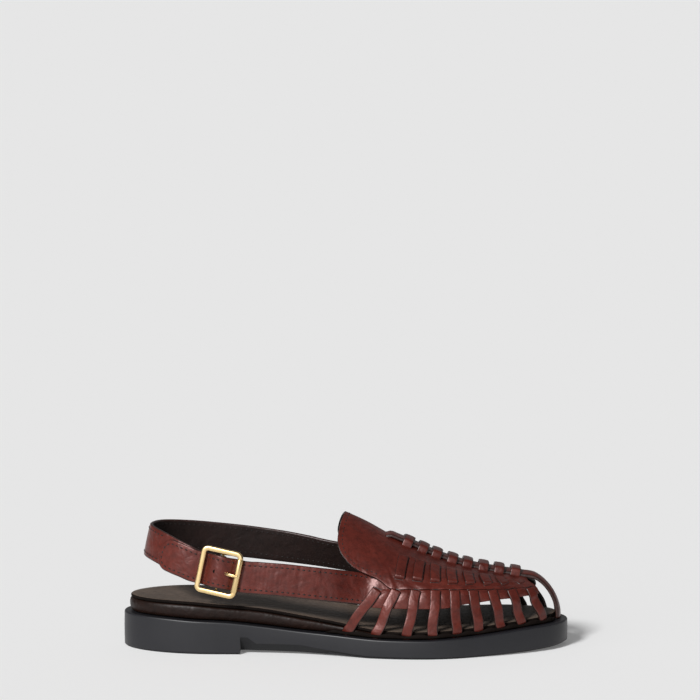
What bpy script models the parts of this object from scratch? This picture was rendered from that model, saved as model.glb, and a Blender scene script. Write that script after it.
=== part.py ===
"""Woven slingback loafer, right shoe, as separate solids.

The shoe stands on its sole: +X to the toe, +Y to the inner side, +Z up. The outer side is at -Y.
All tables and sizes are in millimetres; meshes are made in metres.
"""
import math
from collections import namedtuple

import bmesh
import bpy
from mathutils import Vector

MM = 0.001

# Driving sizes -----------------------------------------------------------------------------------
LENGTH = 265.0             # outsole, back to tip
BACK = -LENGTH / 2
TIP = LENGTH / 2
AXIS = 2.43                # y of the line through the heel's and the toe's middle
HEEL_CAP = 57.0            # length of the outline's round heel end
TOE_CAP = 90.0             # length of its round toe end
GAP = 0.3                  # clearance between neighbouring pieces

LEATHER = 1.6              # wall of the upper
STRIP = 1.6                # thickness of a woven strip
STRIP_WIDTH = 6.2
CENTRE_STRAP = 2.0         # thickness of the strap that runs down the middle to the toe
CENTRE_HALF = 7.0          # half its width
STEP = 0.4                 # width of the small slope at the edge of a raised strip
STRIPS = 9                 # strips on each side
RIM_FLAT = 4.0             # flat of the sole's rim that shows outside the strips

STRAP_WIDTH = 19.2
STRAP_THICK = 1.9
BUCKLE_LENGTH = 25.2       # along the strap
BUCKLE_HEIGHT = 28.0       # across the strap
BUCKLE_DROP = 1.3          # it hangs this much lower than the strap's middle
BAR = 1.45                 # radius of the buckle's frame
ROLLER = 1.9               # outer radius of the roller on the front bar
CENTRE_BAR = 0.8           # radius of the bar that the strap is folded round
BUCKLE_CORNER = 2.6        # radius of the frame's corners, at the middle of the bar
LUG = 1.15                 # radius of the lugs that carry the centre bar
LUG_END = 1.0              # they reach this far behind its middle
ROLLER_WALL = 0.4          # thickness of the rolled plate
SET_BACK = 3.0             # the centre bar lies this far behind the frame
PRONG_WIDTH = 1.8
PRONG_THICK = 0.8
SKIVED = 1.0               # thickness of the strap's end where it is folded
TAIL = 38.5                # the strap's end reaches this far past the buckle's middle


# Interpolation -----------------------------------------------------------------------------------
def smooth(table, key, value, name):
    """Read column `name` of a table at `value` of column `key`, on a smooth curve through the rows."""
    keys = [getattr(row, key) for row in table]
    data = [getattr(row, name) for row in table]
    if value <= keys[0]:
        return data[0]
    if value >= keys[-1]:
        return data[-1]
    at = max(i for i in range(len(keys) - 1) if keys[i] <= value)

    def slope(i):
        low, high = max(i - 1, 0), min(i + 1, len(keys) - 1)
        return (data[high] - data[low]) / (keys[high] - keys[low])

    span = keys[at + 1] - keys[at]
    t = (value - keys[at]) / span
    return ((1 + 2 * t) * (1 - t) ** 2 * data[at] + t * (1 - t) ** 2 * span * slope(at)
            + t * t * (3 - 2 * t) * data[at + 1] + t * t * (t - 1) * span * slope(at + 1))


def linear(table, key, value, name):
    """Read column `name` on straight lines between the rows."""
    for low, high in zip(table, table[1:]):
        if value <= getattr(high, key):
            span = getattr(high, key) - getattr(low, key)
            t = min(max((value - getattr(low, key)) / span, 0.0), 1.0)
            return getattr(low, name) * (1 - t) + getattr(high, name) * t
    return getattr(table[-1], name)


def bezier(p0, p1, p2, p3, t):
    """Point on a cubic curve; the points are Vectors."""
    s = 1 - t
    return p0 * s ** 3 + p1 * (3 * s * s * t) + p2 * (3 * s * t * t) + p3 * t ** 3


# Outline of the sole -----------------------------------------------------------------------------
# outer and inner: half widths from the axis, before the round ends are taken off; rim: height of the top.
Outline = namedtuple("Outline", "x outer inner rim")
OUTLINE = [
    Outline(-132.5, 34.2, 34.2, 20.9), Outline(-108.0, 34.2, 34.2, 20.6), Outline(-93.0, 34.2, 34.2, 19.9),
    Outline(-70.0, 34.2, 34.0, 19.0), Outline(-48.0, 34.8, 32.2, 16.7), Outline(-27.0, 37.0, 30.6, 14.4),
    Outline(-9.0, 40.3, 30.8, 13.0), Outline(15.0, 46.8, 35.2, 11.5), Outline(33.0, 49.5, 40.8, 11.2),
    Outline(49.0, 49.9, 44.6, 11.2), Outline(64.0, 48.6, 46.2, 11.8), Outline(79.0, 46.0, 46.6, 12.6),
    Outline(108.0, 43.6, 45.6, 15.0), Outline(132.5, 45.0, 44.0, 16.0)]

# wall: height of the lower edge of the side; tread: height of the bottom; tuck: how far it is set in.
Tread = namedtuple("Tread", "x wall tread tuck")
BREAST = -62.6             # front face of the heel
TREAD = [
    Tread(-132.5, 0.8, 0.0, 0.8), Tread(BREAST, 0.8, 0.0, 0.8),
    Tread(BREAST + 0.3, 10.4, 1.8, 5.2), Tread(-57.8, 10.4, 1.8, 5.2), Tread(-53.4, 6.6, 1.7, 4.8),
    Tread(-27.0, 6.4, 1.4, 4.0), Tread(-18.0, 4.9, 1.1, 3.2), Tread(1.0, 2.4, 0.5, 1.8),
    Tread(12.0, 1.5, 0.0, 1.2), Tread(70.0, 1.0, 0.0, 1.0), Tread(93.0, 1.4, 0.5, 1.0),
    Tread(108.0, 1.9, 0.9, 1.2), Tread(120.0, 2.6, 1.5, 1.4), Tread(132.5, 3.4, 2.2, 1.5)]

# top: height of the insole; inset: of the footbed's edge from the rim's outline.
Footbed = namedtuple("Footbed", "x top inset")
FOOTBED = [
    Footbed(-132.5, 31.0, 3.4), Footbed(-95.0, 30.6, 4.2), Footbed(-73.0, 29.0, 4.4), Footbed(-50.0, 26.9, 4.5),
    Footbed(-28.0, 23.4, 4.8), Footbed(-8.0, 19.9, 6.2), Footbed(14.0, 16.2, 6.4), Footbed(30.0, 15.2, 6.4),
    Footbed(62.0, 15.7, 6.4), Footbed(79.0, 16.6, 6.4), Footbed(97.0, 18.0, 6.4), Footbed(132.5, 20.2, 6.3)]
INSOLE = 2.0               # thickness of the insole


def stations():
    """Places along the sole where its sections are cut, closer where it turns."""
    heel = [BACK + HEEL_CAP * (1 - math.cos(math.radians(a))) for a in (0, 12, 24, 36, 48, 60, 72, 84)]
    middle = [-68.0, BREAST, BREAST + 0.3, -57.8, -53.4, -40.0, -27.0, -18.0, -9.0, 1.0, 12.0, 24.0, 37.0]
    toe = [TIP - TOE_CAP + TOE_CAP * math.sin(math.radians(a)) for a in range(5, 91, 8)]
    return heel + middle + toe[:-1] + [TIP]


def cap(x):
    """Share of the half width that the round ends leave at x."""
    toe = max(0.0, (x - (TIP - TOE_CAP)) / TOE_CAP)
    heel = max(0.0, ((BACK + HEEL_CAP) - x) / HEEL_CAP)
    return math.sqrt(max(0.0, 1 - max(toe, heel) ** 2))


def rim_loop():
    """The rim's outline: along the outer side to the toe and back along the inner side."""
    places = stations()
    outer = [Vector((x, AXIS - smooth(OUTLINE, "x", x, "outer") * cap(x))) for x in places]
    inner = [Vector((x, AXIS + smooth(OUTLINE, "x", x, "inner") * cap(x))) for x in places[1:-1]]
    return outer + inner[::-1]


def inset_loop(loop, depth):
    """The same loop moved inwards; depth is a function of x."""
    moved = []
    for i, point in enumerate(loop):
        along = (loop[(i + 1) % len(loop)] - loop[i - 1]).normalized()
        moved.append(point + Vector((-along.y, along.x)) * depth(point.x))
    return moved


def side_of(loop, side):
    """Points of a loop on one side, back to tip; side is -1 outer, +1 inner."""
    count = len(stations())
    return loop[:count] if side < 0 else [loop[0]] + loop[count:][::-1] + [loop[count - 1]]


def rim_height(x):
    return smooth(OUTLINE, "x", x, "rim")


# Mesh helpers ------------------------------------------------------------------------------------
def material(name, colour, roughness, metallic=0.0):
    made = bpy.data.materials.get(name) or bpy.data.materials.new(name)
    made.use_nodes = True
    shader = made.node_tree.nodes["Principled BSDF"]
    shader.inputs["Base Color"].default_value = (*colour, 1.0)
    shader.inputs["Roughness"].default_value = roughness
    shader.inputs["Metallic"].default_value = metallic
    return made


def finish(name, bm, look):
    """Make an object of a bmesh in millimetres, with its faces outwards and smooth up to its edges."""
    bmesh.ops.recalc_face_normals(bm, faces=bm.faces)
    if bm.calc_volume(signed=True) < 0:
        bmesh.ops.reverse_faces(bm, faces=bm.faces)
    bmesh.ops.scale(bm, vec=(MM, MM, MM), verts=bm.verts)
    mesh = bpy.data.meshes.new(name)
    bm.to_mesh(mesh)
    bm.free()
    mesh.materials.append(look)
    mesh.shade_smooth()
    mesh.set_sharp_from_angle(angle=math.radians(35))
    made = bpy.data.objects.new(name, mesh)
    bpy.context.scene.collection.objects.link(made)
    return made


def join_rings(bm, low, high):
    """Band of faces between two rings of vertices."""
    for i in range(len(low)):
        j = (i + 1) % len(low)
        bm.faces.new((low[i], low[j], high[j], high[i]))


def skin_rings(bm, rings, closed_ends=True):
    """Join rings of points, all of one count, by bands of faces; returns the rings' vertices."""
    verts = [[bm.verts.new(p) for p in ring] for ring in rings]
    for low, high in zip(verts, verts[1:]):
        join_rings(bm, low, high)
    if closed_ends:
        bm.faces.new(verts[0][::-1])
        bm.faces.new(verts[-1])
    return verts


def skin_plates(bm, rings):
    """Like skin_rings for loops of the sole, closed by faces that run straight across from side to side."""
    verts = skin_rings(bm, rings, closed_ends=False)
    count = len(stations())
    for ring in (verts[0], verts[-1]):
        outer, inner = ring[:count], [ring[0]] + ring[count:][::-1] + [ring[count - 1]]
        for i in range(count - 1):
            corners = [outer[i], outer[i + 1], inner[i + 1], inner[i]]
            bm.faces.new([v for n, v in enumerate(corners) if v not in corners[:n]])
    return verts


def ring_at(loop, height):
    return [Vector((p.x, p.y, height(p.x))) for p in loop]


# Sole and footbed --------------------------------------------------------------------------------
def make_outsole(look):
    """Rubber unit with the heel moulded in, a bevelled waist and a flat rim."""
    loop = rim_loop()
    tread = inset_loop(loop, lambda x: linear(TREAD, "x", x, "tuck"))
    rings = [
        [Vector((q.x, q.y, linear(TREAD, "x", p.x, "tread"))) for p, q in zip(loop, tread)],
        ring_at(loop, lambda x: linear(TREAD, "x", x, "wall")),
        ring_at(loop, lambda x: rim_height(x) - 0.6),
        ring_at(inset_loop(loop, lambda x: 0.6), rim_height)]
    bm = bmesh.new()
    skin_plates(bm, rings)
    return finish("outsole", bm, look)


def footbed_loop(extra):
    return inset_loop(rim_loop(), lambda x: smooth(FOOTBED, "x", x, "inset") + extra)


def make_footbed(wrap_look, sock_look):
    """Leather-wrapped midsole and the insole on it."""
    def under(x):
        return smooth(FOOTBED, "x", x, "top") - INSOLE

    def rest(x):
        return rim_height(x) + GAP

    def waist(x):
        return (rest(x) + under(x) - GAP) / 2

    bm = bmesh.new()
    skin_plates(bm, [ring_at(footbed_loop(0.5), rest), ring_at(footbed_loop(0.0), waist),
                     ring_at(footbed_loop(0.4), lambda x: under(x) - GAP)])
    midsole = finish("midsole", bm, wrap_look)
    bm = bmesh.new()
    skin_plates(bm, [ring_at(footbed_loop(0.9), under), ring_at(footbed_loop(0.6), lambda x: under(x) + INSOLE / 2),
                     ring_at(footbed_loop(1.1), lambda x: under(x) + INSOLE)])
    return midsole, finish("insole", bm, sock_look)


# The last: the surface on the outside of the upper's wall -----------------------------------------
# Crest: profile of the top line, from the tongue's end to the plug's front.
Crest = namedtuple("Crest", "x z")
CREST = [Crest(-6.0, 82.6), Crest(0.0, 80.0), Crest(13.0, 73.9), Crest(26.0, 66.6), Crest(37.7, 61.6),
         Crest(54.0, 54.4), Crest(72.4, 48.4), Crest(91.4, 44.8), Crest(104.0, 43.0), Crest(114.0, 40.4)]

# One row for each strip's line over the shoe; 0 is the tongue's back end, 10 lies before the plug's front.
# crest, plug, shoulder, feather: x where the line crosses those; half and height: the shoulder's place;
# crown: flatness of the top; flank: degrees of slope at the shoulder; edge: share of the way down to the
# plug's edge; band: share of the way from the shoulder to the sole that the side band takes.
Fan = namedtuple("Fan", "line crest plug shoulder feather half height crown flank edge band")
FAN = [
    Fan(0.0, 0.2, -5.2, -1.5, -24.0, 34.6, 40.0, 11.0, 74.0, 0.77, 0.37),
    Fan(1.0, 25.5, 22.5, 19.0, -0.5, 36.2, 39.8, 12.0, 66.0, 0.88, 0.37),
    Fan(2.0, 37.7, 33.0, 30.0, 16.5, 36.8, 39.6, 12.5, 62.0, 0.95, 0.37),
    Fan(3.0, 46.3, 43.0, 41.2, 35.2, 37.2, 39.6, 13.0, 60.0, 0.95, 0.37),
    Fan(4.0, 54.2, 52.4, 52.6, 50.7, 36.4, 39.4, 13.0, 58.0, 0.95, 0.37),
    Fan(5.0, 63.6, 62.0, 63.6, 65.1, 34.8, 39.0, 13.0, 57.0, 0.95, 0.36),
    Fan(6.0, 72.4, 72.1, 74.4, 78.2, 32.2, 38.6, 13.0, 56.0, 0.94, 0.33),
    Fan(7.0, 82.1, 81.9, 85.6, 91.8, 28.8, 38.0, 12.0, 56.0, 0.94, 0.28),
    Fan(8.0, 91.4, 91.5, 97.0, 104.3, 24.2, 37.5, 11.0, 56.0, 0.93, 0.25),
    Fan(9.0, 101.1, 101.5, 108.0, 117.6, 17.2, 37.2, 8.0, 56.0, 0.92, 0.22),
    Fan(10.0, 112.0, 112.0, 115.5, 124.0, 10.0, 36.8, 5.0, 60.0, 0.92, 0.2)]
PLUG_ROW = 0.6             # share of the way from crest to shoulder where `plug` is read
BUMP_REACH = 11.0          # a crossing over the centre strap ends this far from the crest,
BUMP_SHARE = 0.55          # or at this share of the shoulder's half width where that is less
PLUG_SIDE = 20.0           # rough width of the plug beside a crossing


def fan_at(line):
    return Fan(line, *(smooth(FAN, "line", line, name) for name in Fan._fields[1:]))


def track(fan, r):
    """x of a strip's line at r: 0 crest, 1 shoulder, 2 sole."""
    Knot = namedtuple("Knot", "r x")
    knots = [Knot(0.0, fan.crest), Knot(PLUG_ROW, fan.plug), Knot(1.0, fan.shoulder), Knot(2.0, fan.feather)]
    return smooth(knots, "r", r, "x")


LOOP = rim_loop()
FEATHER_LOOP = inset_loop(LOOP, lambda x: RIM_FLAT + STRIP)


def feather_half(x, side):
    """Half width of the feather line, where the strips meet the sole."""
    line = side_of(FEATHER_LOOP, side)
    for a, b in zip(line, line[1:]):
        if x <= b.x:
            t = max(0.0, (x - a.x) / (b.x - a.x))
            return abs(a.y + (b.y - a.y) * t - AXIS)
    return 0.0


def last_point(line, r, side):
    """Point on the last's surface, in millimetres; side is -1 outer, +1 inner."""
    fan = fan_at(line)
    x = track(fan, r)
    foot = feather_half(fan.feather, side)
    half = fan.half * (foot / max(feather_half(fan.feather, -1), 1.0)) ** 0.6
    crest = Vector((0.0, smooth(CREST, "x", fan.crest, "z")))
    shoulder = Vector((half, fan.height))
    slope = math.radians(fan.flank)
    drop = crest.y - shoulder.y
    if r <= 1:
        rise = Vector((-math.cos(slope), math.sin(slope))) * (0.5 * drop + 1.5)
        point = bezier(crest, crest + Vector((fan.crown, 0)), shoulder + rise, shoulder, r)
    else:
        sole = Vector((foot, rim_height(fan.feather) + GAP))
        fall = Vector((math.cos(slope), -math.sin(slope))) * 8.0
        point = bezier(shoulder, shoulder + fall, sole + Vector((0.6, 9.0)), sole, r - 1)
    return Vector((x, AXIS + side * point.x, point.y))


def last_frame(line, r, side):
    """Outward unit normal and the two tangents of the last's surface."""
    d = 0.02
    low = max(r, d) if r < 1 else min(r, 2 - d)
    across = last_point(line + d, low, side) - last_point(line - d, low, side)
    down = last_point(line, low + d, side) - last_point(line, low - d, side)
    normal = across.cross(down) * side
    if r < d:
        normal.y = 0.0
    return normal.normalized() * (-1 if normal.z < 0 and r < 1 else 1), across / (2 * d), down / (2 * d)


def reach(line, distance, side):
    """r at which the surface is `distance` from the crest."""
    steps = 24
    walked, last = 0.0, last_point(line, 0.0, side)
    for i in range(1, steps + 1):
        here = last_point(line, i / steps, side)
        piece = (here - last).length
        if walked + piece >= distance:
            return (i - 1 + (distance - walked) / piece) / steps
        walked, last = walked + piece, here
    return 1.0


# Toe end of the centre strap: profile of its inner face, from the plug's front down to the rim.
TOE_RUN = [Crest(109.0, 42.3), Crest(112.0, 41.5), Crest(115.2, 39.6), Crest(118.2, 37.0), Crest(120.9, 33.9),
           Crest(123.3, 30.2), Crest(125.3, 25.5), Crest(126.4, 21.0), Crest(126.7, 16.4)]
TOE_ROUND = 14.0           # radius across the strap at the toe


def toe_frame(place, across):
    """Point and outward normal on the strap's inner face; place counts the rows of TOE_RUN."""
    rows = [Vector((row.x, row.z)) for row in TOE_RUN]
    here = rows[place]
    along = (rows[min(place + 1, len(rows) - 1)] - rows[max(place - 1, 0)]).normalized()
    normal = Vector((-along.y, 0.0, along.x)) * -1 if along.x < 0 else Vector((-along.y, 0.0, along.x))
    lean = across / TOE_ROUND
    point = Vector((here.x, AXIS + across, here.y)) - normal * (across ** 2 / (2 * TOE_ROUND))
    return point, Vector((normal.x * math.cos(lean), math.sin(lean), normal.z * math.cos(lean)))


# Rows of the upper's wall on one side, from the crest down. measure says what `at` counts: crest, millimetres
# from the crest; bump, millimetres past the crossing's end; plug, share from there to the plug's edge; band,
# share of the side band; side, share from the shoulder to the sole.
# over: height of a strip there; strap: height of the centre strap; below: what lies under the row.
Row = namedtuple("Row", "measure at over strap below")
ROWS = [
    Row("crest", 0.0, 3.5, CENTRE_STRAP, "plug"),
    Row("crest", CENTRE_HALF - STEP, 3.5, CENTRE_STRAP, "plug"),
    Row("crest", CENTRE_HALF, 3.3, 0.0, "plug"),
    Row("bump", 0.0, 1.4, 0.0, "plug"),
    Row("bump", STEP, 0.0, 0.0, "plug"),
    Row("plug", 0.28, 0.0, 0.0, "plug"),
    Row("plug", 0.30, STRIP, 0.0, "plug"),
    Row("plug", 0.56, STRIP, 0.0, "plug"),
    Row("plug", 0.81, STRIP, 0.0, "plug"),
    Row("plug", 0.83, 0.0, 0.0, "plug"),
    Row("plug", 1.0, 0.0, 0.0, "slit"),
    Row("side", 0.0, 0.0, 0.0, "band"),
    Row("side", 0.018, STRIP, 0.0, "band"),
    Row("band", 0.5, STRIP, 0.0, "band"),
    Row("band", 1.0, STRIP, 0.0, "free"),
    Row("band", 1.06, STRIP, 0.0, "free"),
    Row("side", 0.62, STRIP, 0.0, "free"),
    Row("side", 0.82, STRIP, 0.0, "free"),
    Row("side", 1.0, STRIP, 0.0, "end")]
SHOULDER_ROW = 11
FREE_ROW = 15              # from this row on, nothing lies behind the strips

CORNER = 0.42              # the tongue's round lower corner, in lines
CORNER_FROM = 0.62         # where it starts, as a share of the way to the plug's edge
TONGUE_END = 0.73          # line where the tongue's own rows of faces end
SLIT_END = 1.55            # plug and side band are one piece from this line on
PLUG_END = 9.65            # front end of the plug

# Lines over the shoe. kind: tongue, plain, strip or toe; at: share, fan line, strip's number or place;
# offset: in half strip widths; raised: whether the strip lies over it.
Line = namedtuple("Line", "kind at offset raised")


def wall_lines():
    """Every line of the upper's wall, from the tongue to the toe."""
    edge = 1 + 2 * STEP / STRIP_WIDTH
    lines = [Line("tongue", share, 0.0, False) for share in (0.0, 0.33, 0.67)]
    lines.append(Line("plain", TONGUE_END, 0.0, False))
    for strip in range(1, STRIPS + 1):
        lines += [Line("strip", strip, offset, abs(offset) == 1.0) for offset in (-edge, -1.0, 1.0, edge)]
        if strip == 1:
            lines.append(Line("plain", SLIT_END, 0.0, False))
    lines.append(Line("plain", PLUG_END, 0.0, False))
    return lines + [Line("toe", place, 0.0, True) for place in range(len(TOE_RUN))]


def row_r(row, line, side):
    """r of a row at a fan line."""
    fan = fan_at(line)
    bump = reach(line, min(BUMP_REACH, BUMP_SHARE * fan.half), side)
    if row.measure == "crest":
        return min(reach(line, row.at, side), bump * row.at / (CENTRE_HALF + 1.0))
    if row.measure == "bump":
        return bump + (fan.edge - bump) * row.at / PLUG_SIDE
    if row.measure == "plug":
        start = bump + (fan.edge - bump) * STEP / PLUG_SIDE
        return start + (fan.edge - start) * row.at
    return 1 + (fan.band * row.at if row.measure == "band" else row.at)


def line_at(line, r, side):
    """Fan line of a wall line where it is r down the shoe."""
    if line.kind == "strip":
        _, across, down = last_frame(line.at, r, side)
        return line.at + line.offset * STRIP_WIDTH / 2 * down.length / across.cross(down).length
    if line.kind == "tongue":
        turn = max(0.0, (r / FAN[0].edge - CORNER_FROM) / (1 - CORNER_FROM))
        back = CORNER * (1 - math.sqrt(max(0.0, 1 - min(turn, 1.0) ** 2)))
        return back + (TONGUE_END - back) * line.at
    return line.at


def wall_heights(line, i):
    """Heights of the wall's outside and inside over the last at row i of a line."""
    row = ROWS[i]
    crossing = line.kind == "strip" and line.raised and (line.at > 1 or i > SHOULDER_ROW)
    on_strap = line.kind == "toe" or line.kind == "strip" or line.at > 1
    outside = max(row.over if crossing else 0.0, row.strap if on_strap else 0.0)
    return outside, 0.0 if i >= FREE_ROW or line.kind == "toe" else -LEATHER


def wall_point(line, i, side):
    """Outside and inside points of the upper's wall."""
    outside, inside = wall_heights(line, i)
    if line.kind == "toe":
        base, normal = toe_frame(line.at, side * ROWS[i].at)
    else:
        guess = TONGUE_END * line.at if line.kind == "tongue" else line.at
        place = line_at(line, row_r(ROWS[i], guess, side), side)
        r = row_r(ROWS[i], place, side)
        base, (normal, _, _) = last_point(place, r, side), last_frame(place, r, side)
    return base + normal * outside, base + normal * inside


def is_wall(i, left, right):
    """Whether there is leather between rows i and i + 1 from line `left` to line `right`."""
    below = ROWS[i].below
    if right.kind == "toe":
        return i == 0
    if below == "plug":
        return True
    if left.kind == "tongue" or right.at == PLUG_END or left.at == TONGUE_END:
        return False
    if below == "slit":
        return left.at >= SLIT_END
    return below == "band" or left.raised and right.raised and left.at == right.at


def closed_wall(bm, points, cells):
    """Thick wall from a grid: points maps a key to its outside and inside, cells lists keys round each face."""
    verts = {}
    for cell in cells:
        for key in cell:
            if key not in verts:
                verts[key] = [bm.verts.new(point) for point in points[key]]
    borders = {}
    for cell in cells:
        bm.faces.new([verts[key][0] for key in cell])
        bm.faces.new([verts[key][1] for key in cell][::-1])
        for a, b in zip(cell, cell[1:] + cell[:1]):
            if borders.pop((b, a), None) is None:
                borders[a, b] = True
    for a, b in borders:
        bm.faces.new((verts[b][0], verts[a][0], verts[a][1], verts[b][1]))


def make_upper(look):
    """One wall: tongue, plug, side bands and the strips raised on it, with the gaps between them cut."""
    lines = wall_lines()
    points, cells = {}, []
    for j, line in enumerate(lines):
        for i in range(len(ROWS) if line.kind != "toe" else 2):
            for side in (-1, 1):
                points[i * side, j] = wall_point(line, i, side)
    for j, (left, right) in enumerate(zip(lines, lines[1:])):
        for i in range(len(ROWS) - 1):
            if is_wall(i, left, right):
                cells.append([(-i, j), (-i - 1, j), (-i - 1, j + 1), (-i, j + 1)])
                cells.append([(i, j), (i, j + 1), (i + 1, j + 1), (i + 1, j)])
    bm = bmesh.new()
    closed_wall(bm, points, cells)
    return finish("upper", bm, look)


# Slingback strap ---------------------------------------------------------------------------------
# Middle of its outer face, from the outer side of the vamp round the heel to the inner side; lean: degrees
# that its top leans in.
StrapPlace = namedtuple("StrapPlace", "x y z lean")
STRAP = [
    StrapPlace(27.0, -31.7, 36.8, 25.0), StrapPlace(19.0, -30.9, 37.7, 22.5), StrapPlace(12.0, -29.2, 38.7, 20.5),
    StrapPlace(3.0, -30.9, 40.1, 13.0), StrapPlace(-9.0, -34.6, 42.0, 9.0), StrapPlace(-34.0, -35.8, 45.0, 7.0),
    StrapPlace(-58.0, -33.5, 47.9, 6.0), StrapPlace(-74.0, -31.1, 50.7, 6.0), StrapPlace(-88.0, -27.6, 53.8, 7.0),
    StrapPlace(-101.0, -22.0, 58.0, 9.0), StrapPlace(-112.0, -13.0, 61.7, 11.0), StrapPlace(-117.8, -3.0, 63.2, 12.0),
    StrapPlace(-118.6, 6.0, 63.6, 12.0), StrapPlace(-114.6, 16.5, 63.4, 11.0), StrapPlace(-106.0, 25.0, 62.4, 10.0),
    StrapPlace(-92.0, 31.6, 60.6, 8.0), StrapPlace(-76.0, 35.0, 58.6, 7.0), StrapPlace(-58.0, 36.2, 56.5, 8.0),
    StrapPlace(-38.0, 34.6, 54.2, 13.0), StrapPlace(-22.0, 31.0, 52.4, 20.0), StrapPlace(-9.0, 27.4, 50.6, 26.0),
    StrapPlace(8.0, 25.2, 48.0, 28.0), StrapPlace(17.0, 25.5, 46.0, 29.0), StrapPlace(27.0, 25.8, 44.0, 33.0)]
BUCKLE_AT = 7              # row of STRAP where the buckle's middle is
SAMPLES = 12               # straight pieces between two rows


def strap_curve():
    """The strap's line as a list of (length walked from the buckle, point, lean)."""
    Place = namedtuple("Place", "n x y z lean")
    rows = [Place(n, *row) for n, row in enumerate(STRAP)]
    curve, walked = [], 0.0
    for k in range((len(rows) - 1) * SAMPLES + 1):
        x, y, z, lean = (smooth(rows, "n", k / SAMPLES, name) for name in StrapPlace._fields)
        point = Vector((x, y, z))
        walked += (point - curve[-1][1]).length if curve else 0.0
        curve.append((walked, point, lean))
    zero = curve[BUCKLE_AT * SAMPLES][0]
    return [(zero - length, point, lean) for length, point, lean in curve][::-1]


CURVE = strap_curve()


def shift(s):
    """How far the end piece lies below the strap's line: it follows the buckle."""
    t = min(max((24.0 - s) / 12.0, 0.0), 1.0)
    return -BUCKLE_DROP * t * t * (3 - 2 * t)


def curve_frame(s):
    """Point, forward tangent, upward width and outward normal at s: + towards the outer side's front."""
    k = min(max(sum(1 for place in CURVE if place[0] < s), 1), len(CURVE) - 1)
    (s0, p0, lean0), (s1, p1, lean1) = CURVE[k - 1], CURVE[k]
    t = (s - s0) / (s1 - s0)
    low, high = CURVE[max(k - 3, 0)][1], CURVE[min(k + 2, len(CURVE) - 1)][1]
    tangent = (high - low).normalized()
    flat = Vector((tangent.y, -tangent.x, 0.0)).normalized()
    lean = math.radians(lean0 + (lean1 - lean0) * t)
    width = Vector((0, 0, math.cos(lean))) - flat * math.sin(lean)
    width = (width - tangent * width.dot(tangent)).normalized()
    return p0.lerp(p1, t), tangent, width, tangent.cross(width)


BUCKLE_FRAME = curve_frame(0.0)
STRAIGHT = 13.0            # the strap is flat this far each way from the buckle's middle
BLEND = 9.0                # and goes over into its curve along this length


def strap_point(s, w, depth):
    """Point s along the strap from the buckle, w across it and depth out of its face."""
    def place(frame, along):
        point, tangent, width, normal = frame
        return point + tangent * along + width * w + normal * depth

    t = min(max((abs(s) - STRAIGHT) / BLEND, 0.0), 1.0)
    t = t * t * (3 - 2 * t)
    return place(BUCKLE_FRAME, s).lerp(place(curve_frame(s), 0.0), t)


# Faces of the straps by the buckle: s along it, top the outer face and low the inner one, out of the face.
Layer = namedtuple("Layer", "s top low")
FRAME_DEPTH = ROLLER + GAP                         # middle of the buckle's frame
PIN_DEPTH = FRAME_DEPTH - SET_BACK                 # middle of its centre bar
OVER_PIN = PIN_DEPTH + CENTRE_BAR + GAP + SKIVED + GAP + 0.1
UNDER_BAR = FRAME_DEPTH - BAR - GAP                # outer face of the end piece under the back bar
FRONT_LAYERS = [
    Layer(-TAIL, STRAP_THICK + GAP, GAP), Layer(-22.0, STRAP_THICK + GAP, GAP),
    Layer(-13.0, UNDER_BAR, UNDER_BAR - STRAP_THICK), Layer(-8.6, UNDER_BAR, UNDER_BAR - STRAP_THICK),
    Layer(-5.2, OVER_PIN + 0.7, OVER_PIN - 1.1), Layer(-2.0, OVER_PIN + STRAP_THICK, OVER_PIN),
    Layer(1.8, OVER_PIN + STRAP_THICK, OVER_PIN), Layer(5.8, STRAP_THICK, 0.0), Layer(8.4, 0.0, -STRAP_THICK),
    Layer(14.0, 0.0, -STRAP_THICK)]
BACK_LAYERS = [
    Layer(-22.0, 0.0, -STRAP_THICK),
    Layer(-13.0, UNDER_BAR - STRAP_THICK - GAP, UNDER_BAR - 2 * STRAP_THICK - GAP),
    Layer(-7.5, UNDER_BAR - STRAP_THICK - GAP, UNDER_BAR - 2 * STRAP_THICK - GAP + 0.4),
    Layer(-3.0, PIN_DEPTH - CENTRE_BAR - GAP, PIN_DEPTH - CENTRE_BAR - GAP - SKIVED)]
SLOT = PRONG_WIDTH / 2 + GAP + 0.1                 # half width of the cuts that the prong passes
ACROSS = (-STRAP_WIDTH / 2, -SLOT, SLOT, STRAP_WIDTH / 2)


def spaced(start, end, step):
    count = max(1, round(abs(end - start) / step))
    return [start + (end - start) * n / count for n in range(count)]


def make_ribbon(name, outline, lowered, is_slot, look):
    """Strap from a list of (outer, inner) pairs of (s, depth), with the cells of is_slot cut out."""
    points, cells = {}, []
    for i, pair in enumerate(outline):
        for j, w in enumerate(ACROSS):
            points[i, j] = [strap_point(s, w + lowered(s), depth) for s, depth in pair]
    for i in range(len(outline) - 1):
        for j in range(len(ACROSS) - 1):
            if not (j == 1 and is_slot(outline[i][0][0], outline[i + 1][0][0])):
                cells.append([(i, j), (i + 1, j), (i + 1, j + 1), (i, j + 1)])
    bm = bmesh.new()
    closed_wall(bm, points, cells)
    return finish(name, bm, look)


def make_front_strap(look):
    """From the outer side of the vamp through the buckle; its end lies on the back strap."""
    front = CURVE[-1][0]
    places = spaced(-TAIL, -22.0, 4.0) + spaced(-22.0, -13.0, 3.0)
    places += [-13.0, -8.6, -7.0, -5.2, -3.5, -2.0, 1.8, 3.8, 5.8, 7.1, 8.4, 14.0]
    places += spaced(14.0, front, 7.0)[1:] + [front]
    outline = [((s, smooth(FRONT_LAYERS, "s", s, "top")), (s, smooth(FRONT_LAYERS, "s", s, "low")))
               for s in places]
    return make_ribbon("strap_front", outline, shift, lambda a, b: a >= 1.8 and b <= 5.8, look)


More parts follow.
